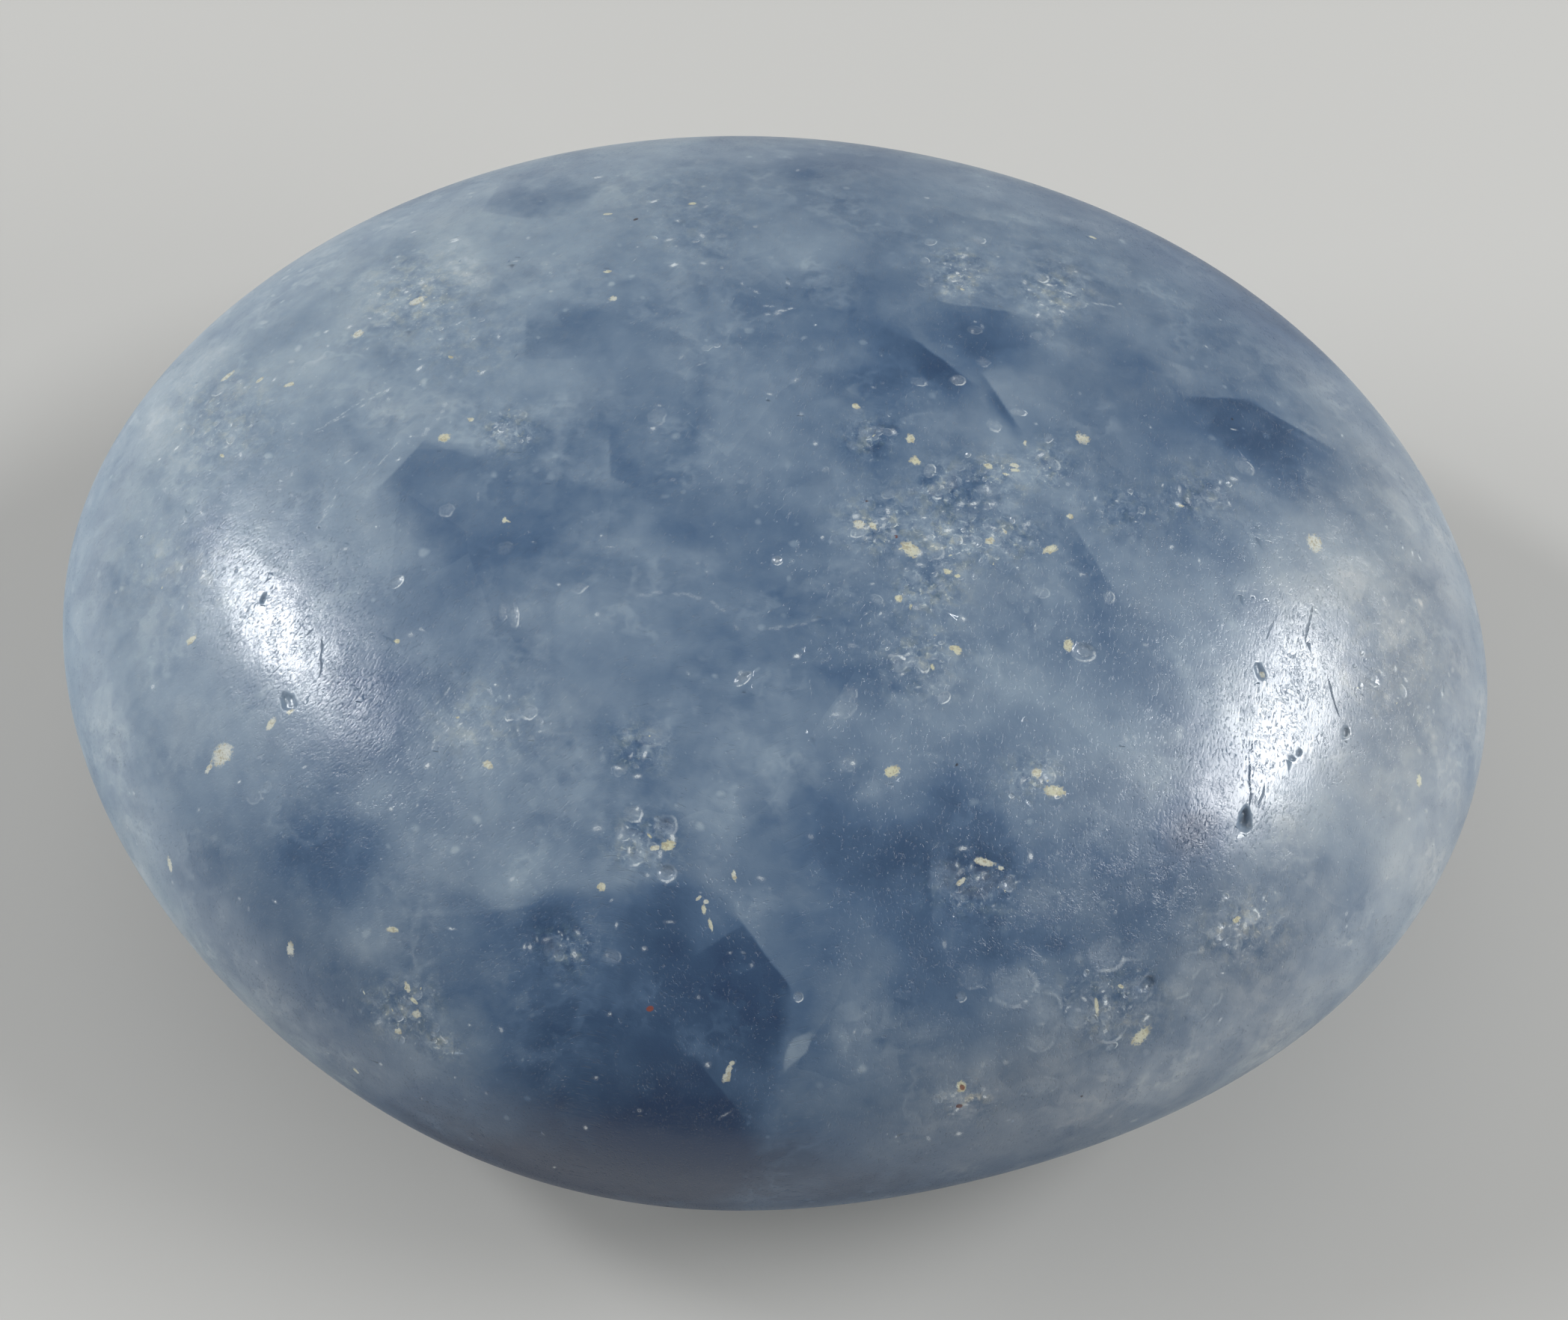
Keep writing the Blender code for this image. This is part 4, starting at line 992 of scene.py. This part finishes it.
def patch_features(surface):
    """Places along the crisp edges and in small patches, where the mesh has to be finer."""
    found = []
    for px, py, half_length, half_width, _, _, edges in milk_and_light_patches():
        for x0, y0, x1, y1 in [edge for edge in edges if len(edge) == 4]:
            steps = max(1, round(math.hypot(x1 - x0, y1 - y0) / (EDGE_STEP * PIXELS_PER_MM)))
            for step in range(steps + 1):
                x = x0 + (x1 - x0) * step / steps
                y = y0 + (y1 - y0) * step / steps
                found.append((seen_place(surface, x, y)[0], EDGE_REACH, EDGE_FINENESS))
        if half_width < SMALL_PATCH:
            place, _ = seen_place(surface, px, py)
            found.append((place, half_length * 1.5 * MM, half_width * MM))
    return [feature for feature in found if feature[0] is not None]


def nearest_mark(points, tree, marks, margin=0.4 * MM):
    """For each point, its place in the nearest mark (0 in the middle, 1 at the rim), that mark's
    tone, and how far round the point lies to the mark's side with the painted highlight (1, or -1
    for the far side)."""
    place = np.full(len(points), FAR_OFF)
    tone = np.zeros(len(points))
    side = np.zeros(len(points))
    for mark in marks:
        found = tree.find_range(mark.place, mark.reach() + margin)
        near = np.array([index for _, index, _ in found])
        if len(near) == 0:
            continue
        offset = points[near] - np.array(mark.place)
        along = offset @ np.array(mark.along) / mark.half_length
        half_width = mark.half_width * np.clip(1 + mark.taper * along, 0.3, 2.0)
        across = offset @ np.array(mark.across) / half_width
        radius = np.hypot(along, across)
        nearer = radius < place[near]
        place[near[nearer]] = radius[nearer]
        tone[near[nearer]] = mark.tone
        toward = along * math.cos(mark.bright) + across * math.sin(mark.bright)
        side[near[nearer]] = (toward / np.maximum(radius, 0.05))[nearer]
    return place, tone, side


def vug_depth(points, tree, vugs):
    """How deep each point lies in a vug: a ragged rim, steep walls and an uneven bottom."""
    sink = np.zeros(len(points))
    ragged = unevenness(points, 0.3 * MM)
    for mark in vugs:
        place, _, _ = nearest_mark(points, tree, [mark])
        place = place + 0.22 * ragged[:, 0]
        walls = smooth_step(1 - place, 0.0, 0.5)
        sink = np.maximum(sink, mark.depth * walls * (0.85 + 0.35 * ragged[:, 1]))
    return sink


def add_attribute(mesh, name, values):
    attribute = mesh.attributes.new(name, "FLOAT", "POINT")
    attribute.data.foreach_set("value", values.astype(np.float32))


def make_stone():
    ball = make_ball()
    surface = surface_of(ball.data)
    marks = all_marks(surface)
    features = [
        (mark.place, mark.reach(), VUG_FINENESS if kind == "vug" else mark.fineness())
        for kind, made in marks.items() for mark in made
    ]
    divide_near(ball, features + patch_features(surface))
    points = stone_points(coordinates(ball.data))
    set_coordinates(ball.data, points)
    store_patches(ball.data, points)
    tree = point_tree(points)
    for kind in ("ring", "dot", "grain", "speck", "crack"):
        place, tone, side = nearest_mark(points, tree, marks[kind])
        add_attribute(ball.data, kind, place)
        add_attribute(ball.data, kind + "_tone", tone)
        if kind == "ring":
            add_attribute(ball.data, "ring_lit_side", side)
    sink = vug_depth(points, tree, marks["vug"])
    set_coordinates(ball.data, points - normals(ball.data) * sink[:, None])
    bpy.ops.object.shade_smooth()
    return ball, surface


# Materials


class Pattern:
    """Adds nodes to one material and joins them. A socket given as a value is linked."""

    def __init__(self, name):
        self.material = bpy.data.materials.new(name)
        self.material.use_nodes = True
        self.nodes = self.material.node_tree.nodes
        self.links = self.material.node_tree.links
        self.shader = self.nodes["Principled BSDF"]

    def put(self, socket, value):
        if isinstance(value, bpy.types.NodeSocket):
            self.links.new(value, socket)
        else:
            socket.default_value = value

    def node(self, kind, settings=None, **values):
        made = self.nodes.new(kind)
        for name, setting in (settings or {}).items():
            setattr(made, name, setting)
        for name, value in values.items():
            self.put(made.inputs[name.replace("_", " ")], value)
        return made

    def maths(self, operation, first, second=0.0, clamp=False):
        made = self.nodes.new("ShaderNodeMath")
        made.operation = operation
        made.use_clamp = clamp
        self.put(made.inputs[0], first)
        self.put(made.inputs[1], second)
        return made.outputs[0]

    def total(self, *values):
        result = values[0]
        for value in values[1:]:
            result = self.maths("ADD", result, value)
        return result

    def product(self, *values):
        result = values[0]
        for value in values[1:]:
            result = self.maths("MULTIPLY", result, value)
        return result

    def fade(self, value, start, end, low=0.0, high=1.0, smooth=True):
        """low up to start, high from end on, and a smooth run between them."""
        made = self.nodes.new("ShaderNodeMapRange")
        made.interpolation_type = "SMOOTHSTEP" if smooth else "LINEAR"
        for index, number in enumerate((value, start, end, low, high)):
            self.put(made.inputs[index], number)
        return made.outputs[0]

    def vector(self, operation, first, second=None, scale=None):
        made = self.nodes.new("ShaderNodeVectorMath")
        made.operation = operation
        self.put(made.inputs[0], first)
        if second is not None:
            self.put(made.inputs[1], second)
        if scale is not None:
            self.put(made.inputs["Scale"], scale)
        return made.outputs["Vector"]

    def attribute(self, name):
        return self.node("ShaderNodeAttribute", {"attribute_name": name}).outputs["Fac"]

    def millimetres(self):
        place = self.nodes.new("ShaderNodeTexCoord").outputs["Object"]
        return self.vector("SCALE", place, scale=1 / MM)

    def noise(self, place, scale, detail=3.0, roughness=0.5, distortion=0.0, output="Fac"):
        made = self.node("ShaderNodeTexNoise", Vector=place, Scale=scale, Detail=detail)
        self.put(made.inputs["Roughness"], roughness)
        self.put(made.inputs["Distortion"], distortion)
        return made.outputs[output]

    def swing(self, value, amount):
        """A 0 to 1 pattern, turned into one that swings about zero by amount."""
        return self.maths("MULTIPLY", self.maths("SUBTRACT", value, 0.5), amount)

    def warped(self, place, scale, amount):
        colour = self.noise(place, scale, detail=2.0, output="Color")
        shift = self.vector("SUBTRACT", colour, (0.5, 0.5, 0.5))
        return self.vector("ADD", place, self.vector("SCALE", shift, scale=amount))

    def cells(self, place, scale, randomness=1.0):
        return self.node("ShaderNodeTexVoronoi", Vector=place, Scale=scale, Randomness=randomness)

    def parts_of(self, colour):
        return self.node("ShaderNodeSeparateColor", Color=colour).outputs

    def stretched(self, place, turn, factors):
        """Coordinates for a pattern that is stretched along one direction."""
        made = self.node("ShaderNodeMapping", {"vector_type": "TEXTURE"}, Vector=place)
        made.inputs["Rotation"].default_value = tuple(math.radians(a) for a in turn)
        made.inputs["Scale"].default_value = tuple(1 / f for f in factors)
        return made.outputs["Vector"]

    def mix(self, share, first, second, blend="MIX"):
        made = self.nodes.new("ShaderNodeMix")
        made.data_type = "RGBA"
        made.blend_type = blend
        self.put(made.inputs[0], share)
        self.put(made.inputs[6], first)
        self.put(made.inputs[7], second)
        return made.outputs[2]

    def colours(self, value, stops):
        made = self.nodes.new("ShaderNodeValToRGB")
        ramp = made.color_ramp
        while len(ramp.elements) < len(stops):
            ramp.elements.new(0.5)
        for element, (position, colour) in zip(ramp.elements, stops):
            element.position = position
            element.color = (*colour, 1.0)
        self.put(made.inputs[0], value)
        return made.outputs["Color"]


# Colour of the calcite for its milk, from clear windows to white flecks
MILK_COLOURS = (
    (0.00, (0.017, 0.046, 0.112)),
    (0.15, (0.036, 0.080, 0.159)),
    (0.30, (0.071, 0.130, 0.226)),
    (0.41, (0.113, 0.177, 0.268)),
    (0.50, (0.153, 0.221, 0.310)),
    (0.65, (0.227, 0.302, 0.384)),
    (0.79, (0.311, 0.388, 0.456)),
    (0.90, (0.400, 0.473, 0.528)),
    (1.00, (0.560, 0.608, 0.625)),
)
GREY_TINT = (1.13, 0.985, 0.89, 1.0)
CREAM_TINT = (1.45, 1.22, 0.92, 1.0)
GRAIN_BEIGE = (0.58, 0.61, 0.57, 1.0)
GRAIN_YELLOW = (0.60, 0.59, 0.40, 1.0)
GRAIN_OCHRE = (0.36, 0.32, 0.20, 1.0)
SPECK_BLACK = (0.03, 0.03, 0.04, 1.0)
SPECK_RUST = (0.25, 0.06, 0.03, 1.0)
# White of the specks and of the painted glints
SPECK_AND_GLINT_WHITE = (0.90, 0.95, 0.96, 1.0)
# Painted shade inside the cracks
CRACK_SHADE = (0.10, 0.12, 0.15, 1.0)
# Pale ring outlines, with a painted highlight on one side
RING_PALE_AND_HIGHLIGHT = (0.62, 0.69, 0.72, 1.0)

POLISH_ROUGHNESS = 0.30


class Calcite(Pattern):
    """The layers of the polished stone, each a pattern over its place in millimetres. Milk, with the
    painted light and shade along the rims, is added up first. Then what lies in the stone is laid
    over its colour, with painted glints, a painted highlight on one side of each ring and painted
    shade in the cracks. Then comes the polish."""

    def __init__(self, name):
        super().__init__(name)
        self.place = self.millimetres()
        self.loose = self.warped(self.place, 0.22, 2.6)
        self.tight = self.warped(self.place, 0.9, 0.6)
        self.unseen = self.maths("SUBTRACT", 1.0, self.attribute("seen"))
        self.froth = self.attribute("froth")
        self.uneven = self.swing(self.noise(self.place, 2.6, 3.0, 0.6), 0.8)
        self.crumb = self.noise(self.place, 8.0, 2.0, 0.6)
        self.ragged = self.total(self.product(self.uneven, 0.7), self.swing(self.crumb, 1.5))

    def clouds(self):
        """Clouds of milk, from wide to fine."""
        wide = self.swing(self.noise(self.loose, 0.10, 3.0, 0.5), 0.9)
        middling = self.swing(self.noise(self.loose, 0.24, 5.0, 0.54), 0.58)
        mottle = self.swing(self.noise(self.tight, 0.75, 3.0, 0.55, 0.4), 0.12)
        return self.total(self.product(wide, self.unseen), middling, mottle)

    def veils(self):
        """Veils of milk, whose edges are crisp here and soft there."""
        blur = self.fade(self.noise(self.place, 0.3, 1.0), 0.42, 0.60, 0.10, 0.012)
        low = self.maths("SUBTRACT", 0.5, blur)
        high = self.maths("ADD", 0.5, blur)
        wide = self.fade(self.noise(self.tight, 0.38, 2.0), low, high, -0.026, 0.026)
        small = self.fade(self.noise(self.loose, 0.80, 2.0), low, high, -0.018, 0.018)
        fine = self.fade(self.noise(self.tight, 1.5, 2.0), low, high, -0.013, 0.013)
        cloudy = self.fade(self.attribute("milk_and_light"), 0.15, 0.50, 0.20, 1.0)
        shows = self.fade(self.noise(self.place, 0.16, 1.0), 0.44, 0.60, 0.35, 1.0)
        return self.product(self.total(wide, small, fine), cloudy, shows)

    def crystals(self):
        """Crystals, each with its own clearness, whose straight edges show here and there."""
        crystal = self.cells(self.warped(self.place, 0.5, 0.5), 0.17)
        tone = self.parts_of(crystal.outputs["Color"])
        shows = self.fade(self.noise(self.place, 0.13, 1.0), 0.42, 0.60, 0.15, 1.0)
        faint = self.product(self.swing(tone["Red"], 0.07), shows)
        strong = self.product(self.swing(tone["Green"], 0.30), self.unseen, shows)
        return self.total(faint, strong)

    def fibres(self):
        """Soft fibres of milk, and streaks along the cleavage of the crystals."""
        middle = self.maths("ABSOLUTE", self.swing(self.noise(self.tight, 0.40, 3.0, 0.6), 1.0))
        shows = self.fade(self.noise(self.place, 0.27, 1.0), 0.50, 0.66)
        fibre = self.product(self.fade(middle, 0.07, 0.0, 0.0, 0.09), shows)
        way = self.stretched(self.loose, (0, 0, -4), (0.22, 1.5, 1.5))
        streak = self.product(self.swing(self.noise(way, 1.0, 3.0, 0.62), 0.20), shows)
        return self.total(streak, fibre)

    def fleck_spots(self, scale, small, sizes):
        """Round spots, one to a cell. A share of them is as small as the first size, and the rest
        grow towards the second."""
        fleck = self.cells(self.tight, scale)
        tone = self.parts_of(fleck.outputs["Color"])["Red"]
        size = self.fade(tone, small, 1.0, *sizes, smooth=False)
        return self.fade(self.maths("DIVIDE", fleck.outputs["Distance"], size), 1.0, 0.3)

    def flecks(self):
        """Soft pale flecks in drifts, and fine ones, which crowd where the stone is frothy."""
        drift = self.fade(self.noise(self.loose, 0.18, 2.0), 0.44, 0.64)
        crowd = self.maths("ADD", drift, self.froth, clamp=True)
        soft = self.product(self.fleck_spots(1.15, 0.45, (0.02, 0.36)), crowd, 0.20)
        strength = self.total(0.10, self.product(self.froth, 0.30))
        fine = self.product(self.fleck_spots(3.3, 0.72, (0.01, 0.28)), strength)
        return self.total(soft, fine)

    def tiny_bubbles(self):
        """Froth: crowds of tiny bubbles and crumbs, with dark gaps between them."""
        clump = self.swing(self.noise(self.tight, 1.35, 4.0, 0.72), 1.3)
        crumbs = self.fade(self.noise(self.tight, 3.6, 3.0, 0.65), 0.59, 0.68, 0.0, 0.32)
        to_edge = {"feature": "DISTANCE_TO_EDGE"}
        wall = self.node("ShaderNodeTexVoronoi", to_edge, Vector=self.tight, Scale=2.4)
        breaks = self.fade(self.noise(self.place, 1.5, 2.0), 0.47, 0.56, -0.15, 1.0)
        walls = self.product(self.fade(wall.outputs["Distance"], 0.11, 0.01), breaks, 0.12)
        return self.product(self.total(clump, crumbs, walls), self.froth)

    def milky_and_lit_colour(self):
        """The calcite's colour for its milk, with painted light and shade along the rims, greyer here
        and there and creamy in the froth.
        """
        milk_and_light = self.total(
            self.attribute("milk_and_light"), self.clouds(), self.veils(), self.crystals(), self.fibres(),
            self.flecks(), self.tiny_bubbles(),
        )
        colour = self.colours(milk_and_light, MILK_COLOURS)
        cast = self.swing(self.noise(self.place, 0.3, 2.0), 0.6)
        greyer = self.maths("ADD", self.attribute("grey"), cast, clamp=True)
        colour = self.mix(greyer, colour, GREY_TINT, blend="MULTIPLY")
        creamy = self.fade(self.noise(self.place, 1.6, 4.0, 0.7), 0.49, 0.64)
        return self.mix(self.product(creamy, self.froth, 0.8), colour, CREAM_TINT, blend="MULTIPLY")

    def with_bubbles_dots_and_glints(self, colour):
        """Bubbles opened by the polish, each a broken pale ring that is brighter on one side with a
        painted highlight and has painted glints on it, with a little milk inside; and white dots,
        which are partly white specks and partly painted glints. Gives the colour, and the bowls
        that the bubbles leave."""
        tone = self.attribute("ring_tone")
        ring = self.maths("ADD", self.attribute("ring"), self.product(self.uneven, 0.35))
        off_rim = self.maths("ABSOLUTE", self.maths("SUBTRACT", ring, 0.86))
        breaks = self.fade(self.noise(self.place, 1.4, 2.0), 0.46, 0.60)
        side = self.attribute("ring_lit_side")
        # The pale rim is brighter on one side: a painted highlight.
        rim = self.product(self.fade(off_rim, 0.18, 0.0), self.fade(side, -0.8, 0.8, 0.25, 1.0))
        line = self.product(rim, breaks, tone, 0.42)
        crumbly = self.fade(self.crumb, 0.3, 0.6, 0.5, 1.0)
        fill = self.product(self.fade(ring, 1.1, 0.4), crumbly, tone, 0.22)
        colour = self.mix(self.maths("ADD", line, fill, clamp=True), colour, RING_PALE_AND_HIGHLIGHT)
        # The glints on the bright side of the rim are painted highlights, mixed in white with the dots.
        broken = self.fade(self.crumb, 0.36, 0.48, 0.25, 1.0)
        shine = self.product(self.fade(side, 0.35, 0.85), self.fade(tone, 0.45, 0.85), broken)
        glints = self.product(self.fade(off_rim, 0.16, 0.03), shine, 0.85)
        bowl = self.product(self.fade(ring, 1.0, 0.2), tone)

        # White dots: partly white specks and partly painted glints.
        dot = self.maths("ADD", self.attribute("dot"), self.product(self.ragged, 1.2))
        halo = self.fade(dot, 1.6, 0.3, 0.0, 0.25)
        grainy = self.fade(self.crumb, 0.36, 0.50, 0.4, 1.0)
        core = self.product(self.fade(dot, 0.85, 0.50), grainy)
        dots = self.product(self.maths("MAXIMUM", halo, core), self.attribute("dot_tone"))
        whites_and_glints = self.product(self.maths("MAXIMUM", dots, glints), 0.66)
        return self.mix(whites_and_glints, colour, SPECK_AND_GLINT_WHITE), bowl

    def with_grains(self, colour):
        """Cream grains, ragged and a little see-through at their rims, and specks of rust. Gives
        the colour, and where the grains are."""
        grain = self.maths("ADD", self.attribute("grain"), self.product(self.ragged, 0.9))
        grains = self.fade(grain, 1.12, 0.70)
        change = self.swing(self.crumb, 2.0)
        warmth = self.maths("ADD", self.attribute("grain_tone"), change, clamp=True)
        grain_colour = self.mix(warmth, GRAIN_BEIGE, GRAIN_YELLOW)
        relief = self.maths("ADD", self.uneven, self.swing(self.crumb, 1.0))
        grain_colour = self.mix(self.fade(relief, 0.02, -0.20, 0.0, 0.75), grain_colour, GRAIN_OCHRE)
        colour = self.mix(self.product(grains, 0.9), colour, grain_colour)
        speck = self.maths("ADD", self.attribute("speck"), self.uneven)
        speck_colour = self.mix(self.attribute("speck_tone"), SPECK_BLACK, SPECK_RUST)
        specks = self.product(self.fade(speck, 1.1, 0.7), 0.85)
        return self.mix(specks, colour, speck_colour), grains

    def with_cracks(self, colour):
        """Fine cracks, darkened inside with painted shade. Gives the colour, and where the cracks are.
        """
        place = self.maths("ADD", self.attribute("crack"), self.product(self.ragged, 0.5))
        crack = self.product(self.fade(place, 1.25, 0.55), self.attribute("crack_tone"))
        return self.mix(self.product(crack, 0.5), colour, CRACK_SHADE), crack

    def hand_polish(self, to_right, left, right, source):
        """Coordinates stretched along the polishing strokes, which turn from left to right. Each
        side has its turn and its two finenesses, along the strokes and across them."""
        way = self.node("ShaderNodeMix", {"data_type": "VECTOR"})
        self.put(way.inputs[0], to_right)
        for socket, (turn, along, across) in zip((way.inputs[4], way.inputs[5]), (left, right)):
            self.put(socket, self.stretched(source, (0, 0, turn), (along, across, across)))
        return way.outputs[1]

    def polish(self, bowl, crack):
        """Fine scratches, hairs and pores, which show where a lamp is mirrored. Gives the bump,
        the pores and how dull the worn places are."""
        side = self.node("ShaderNodeSeparateXYZ", Vector=self.place).outputs["X"]
        to_right = self.fade(side, -6.0, 6.0)
        strokes = self.hand_polish(to_right, (50, 3.4, 9.5), (88, 3.8, 9.0), self.place)
        scratch = self.noise(strokes, 1.0, 3.0, 0.6)
        dull = self.attribute("worn")
        worn = self.fade(self.noise(self.place, 0.55, 2.0), 0.40, 0.54, 0.25, 1.0)
        pores = self.product(self.fade(scratch, 0.42, 0.32), self.maths("MAXIMUM", worn, dull))
        fine_strokes = self.hand_polish(to_right, (20, 1.4, 7.5), (-22, 1.2, 7.5), self.tight)
        hair = self.maths("ABSOLUTE", self.swing(self.noise(fine_strokes, 1.0, 2.0, 0.55), 1.0))
        breaks = self.fade(self.noise(self.place, 1.3, 2.0, 0.6), 0.46, 0.56)
        dulled = self.fade(dull, 0.0, 0.8, 0.45, 1.0)
        hairs = self.product(self.fade(hair, 0.045, 0.0), breaks, dulled)
        scratch_height = self.fade(to_right, 0.0, 1.0, 0.009, 0.006)
        height = self.total(
            self.product(scratch, scratch_height, self.total(1.0, dull)),
            self.product(pores, -0.012),
            self.product(hairs, -0.006),
            self.product(bowl, -0.04),
            self.product(crack, -0.03),
            self.product(self.noise(self.place, 0.35, 2.0), 0.05),
        )
        bump = self.node("ShaderNodeBump", Height=height, Distance=MM, Strength=1.0)
        return bump.outputs["Normal"], pores, dull


def calcite():
    """The polished blue calcite."""
    stone = Calcite("polished_blue_calcite")
    colour, bowl = stone.with_bubbles_dots_and_glints(stone.milky_and_lit_colour())
    colour, grains = stone.with_grains(colour)
    colour, crack = stone.with_cracks(colour)
    normal, pores, dull = stone.polish(bowl, crack)
    roughness = stone.total(
        POLISH_ROUGHNESS, stone.product(pores, 0.2), stone.product(crack, 0.35),
        stone.product(grains, 0.2), stone.product(dull, 0.10),
    )

    # The polish is best on top and weaker low on the sides and at the rim. Cracks are rough
    # inside, so they don't mirror.
    facing = stone.node("ShaderNodeLayerWeight", Blend=0.5).outputs["Facing"]
    height_up = stone.node("ShaderNodeSeparateXYZ", Vector=stone.place).outputs["Z"]
    waist = stone.fade(height_up, 11.0, 21.0, 0.55, 1.0)
    coat = stone.product(
        stone.fade(crack, 0.0, 0.5, 1.0, 0.0),
        stone.fade(facing, 0.40, 0.82, 1.0, 0.12),
        stone.fade(dull, 0.0, 1.0, 1.0, 0.85, smooth=False),
        waist,
    )
    mirror = stone.product(stone.fade(facing, 0.40, 0.82, 0.5, 0.12), waist)
    linked = {
        "Base Color": colour, "Roughness": roughness, "Normal": normal, "Coat Normal": normal,
        "Coat Weight": coat, "Specular IOR Level": mirror,
        "IOR": 1.55, "Coat Roughness": 0.14,
        "Subsurface Weight": 0.2, "Subsurface Scale": 1.2 * MM, "Subsurface Radius": (0.6, 0.8, 1.0),
    }
    for name, value in linked.items():
        stone.put(stone.shader.inputs[name], value)
    return stone.material


def pale_floor():
    pattern = Pattern("pale_floor")
    pattern.shader.inputs["Base Color"].default_value = (0.54, 0.54, 0.525, 1.0)
    pattern.shader.inputs["Roughness"].default_value = 0.9
    pattern.shader.inputs["Specular IOR Level"].default_value = 0.2
    return pattern.material


# Lamps. Each stands where the polished surface mirrors it into its gleam, which runs between two
# pixels of the photograph.
LAMP_DISTANCE = 0.45
LEFT_GLEAM = ((308, 743), (436, 932))
RIGHT_GLEAM = ((1761, 829), (1628, 1112))
LEFT_LAMP_BREADTH = 0.057
RIGHT_LAMP_BREADTH = 0.100
LEFT_LAMP_WATTS = 0.56
RIGHT_LAMP_WATTS = 1.09

# Soft lamps that light the stone and aren't mirrored in it: place, size and watts
SOFT_LAMPS = (
    ("soft_top", (-0.12, 0.10, 0.80), 0.80, 0.95),
    ("soft_left", (-0.68, 0.04, 0.22), 0.40, 3.5),
    ("soft_right", (0.70, -0.10, 0.18), 0.40, 2.4),
)
WORLD_STRENGTH = 0.15


def turned_to(place, target, long_way=None):
    """The matrix of a lamp at place that shines at target, with its length along long_way."""
    back = (place - target).normalized()
    side = (long_way or Vector((1.0, 0.0, 0.0))).cross(back).normalized()
    turned = Matrix((side, back.cross(side), back)).transposed().to_4x4()
    return Matrix.Translation(place) @ turned


def make_lamp(name, place, breadth, length, watts, long_way=None):
    light = bpy.data.lights.new(name, "AREA")
    light.shape = "ELLIPSE"
    light.size = breadth
    light.size_y = length
    light.energy = watts
    lamp = bpy.data.objects.new(name, light)
    lamp.matrix_world = turned_to(place, STONE_MIDDLE, long_way)
    bpy.context.scene.collection.objects.link(lamp)
    return lamp


def make_gleam_lamp(name, surface, gleam, breadth, watts):
    ends = []
    for px, py in gleam:
        place, normal = seen_place(surface, px, py)
        sight = photo_ray(px, py)
        ends.append(place + (sight - 2 * sight.dot(normal) * normal) * LAMP_DISTANCE)
    span = ends[1] - ends[0]
    make_lamp(name, (ends[0] + ends[1]) / 2, breadth, span.length, watts, span)


def make_lights(surface):
    make_gleam_lamp("left_lamp", surface, LEFT_GLEAM, LEFT_LAMP_BREADTH, LEFT_LAMP_WATTS)
    make_gleam_lamp("right_lamp", surface, RIGHT_GLEAM, RIGHT_LAMP_BREADTH, RIGHT_LAMP_WATTS)
    for name, place, size, watts in SOFT_LAMPS:
        make_lamp(name, Vector(place), size, size, watts).visible_glossy = False
    world = bpy.data.worlds.new("studio")
    world.use_nodes = True
    background = world.node_tree.nodes["Background"]
    background.inputs["Color"].default_value = (1.0, 0.99, 0.97, 1.0)
    background.inputs["Strength"].default_value = WORLD_STRENGTH
    bpy.context.scene.world = world


def make_floor():
    bpy.ops.object.select_all(action="DESELECT")
    bpy.ops.mesh.primitive_plane_add(size=6.0, location=(0.0, 0.0, 0.0))
    floor = bpy.context.object
    floor.name = "floor"
    floor.data.materials.append(pale_floor())


make_camera()
stone, surface = make_stone()
stone.data.materials.append(calcite())
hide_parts("stone")
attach(stone, "root")
make_lights(surface)
make_floor()
bpy.context.scene.view_settings.view_transform = "Standard"
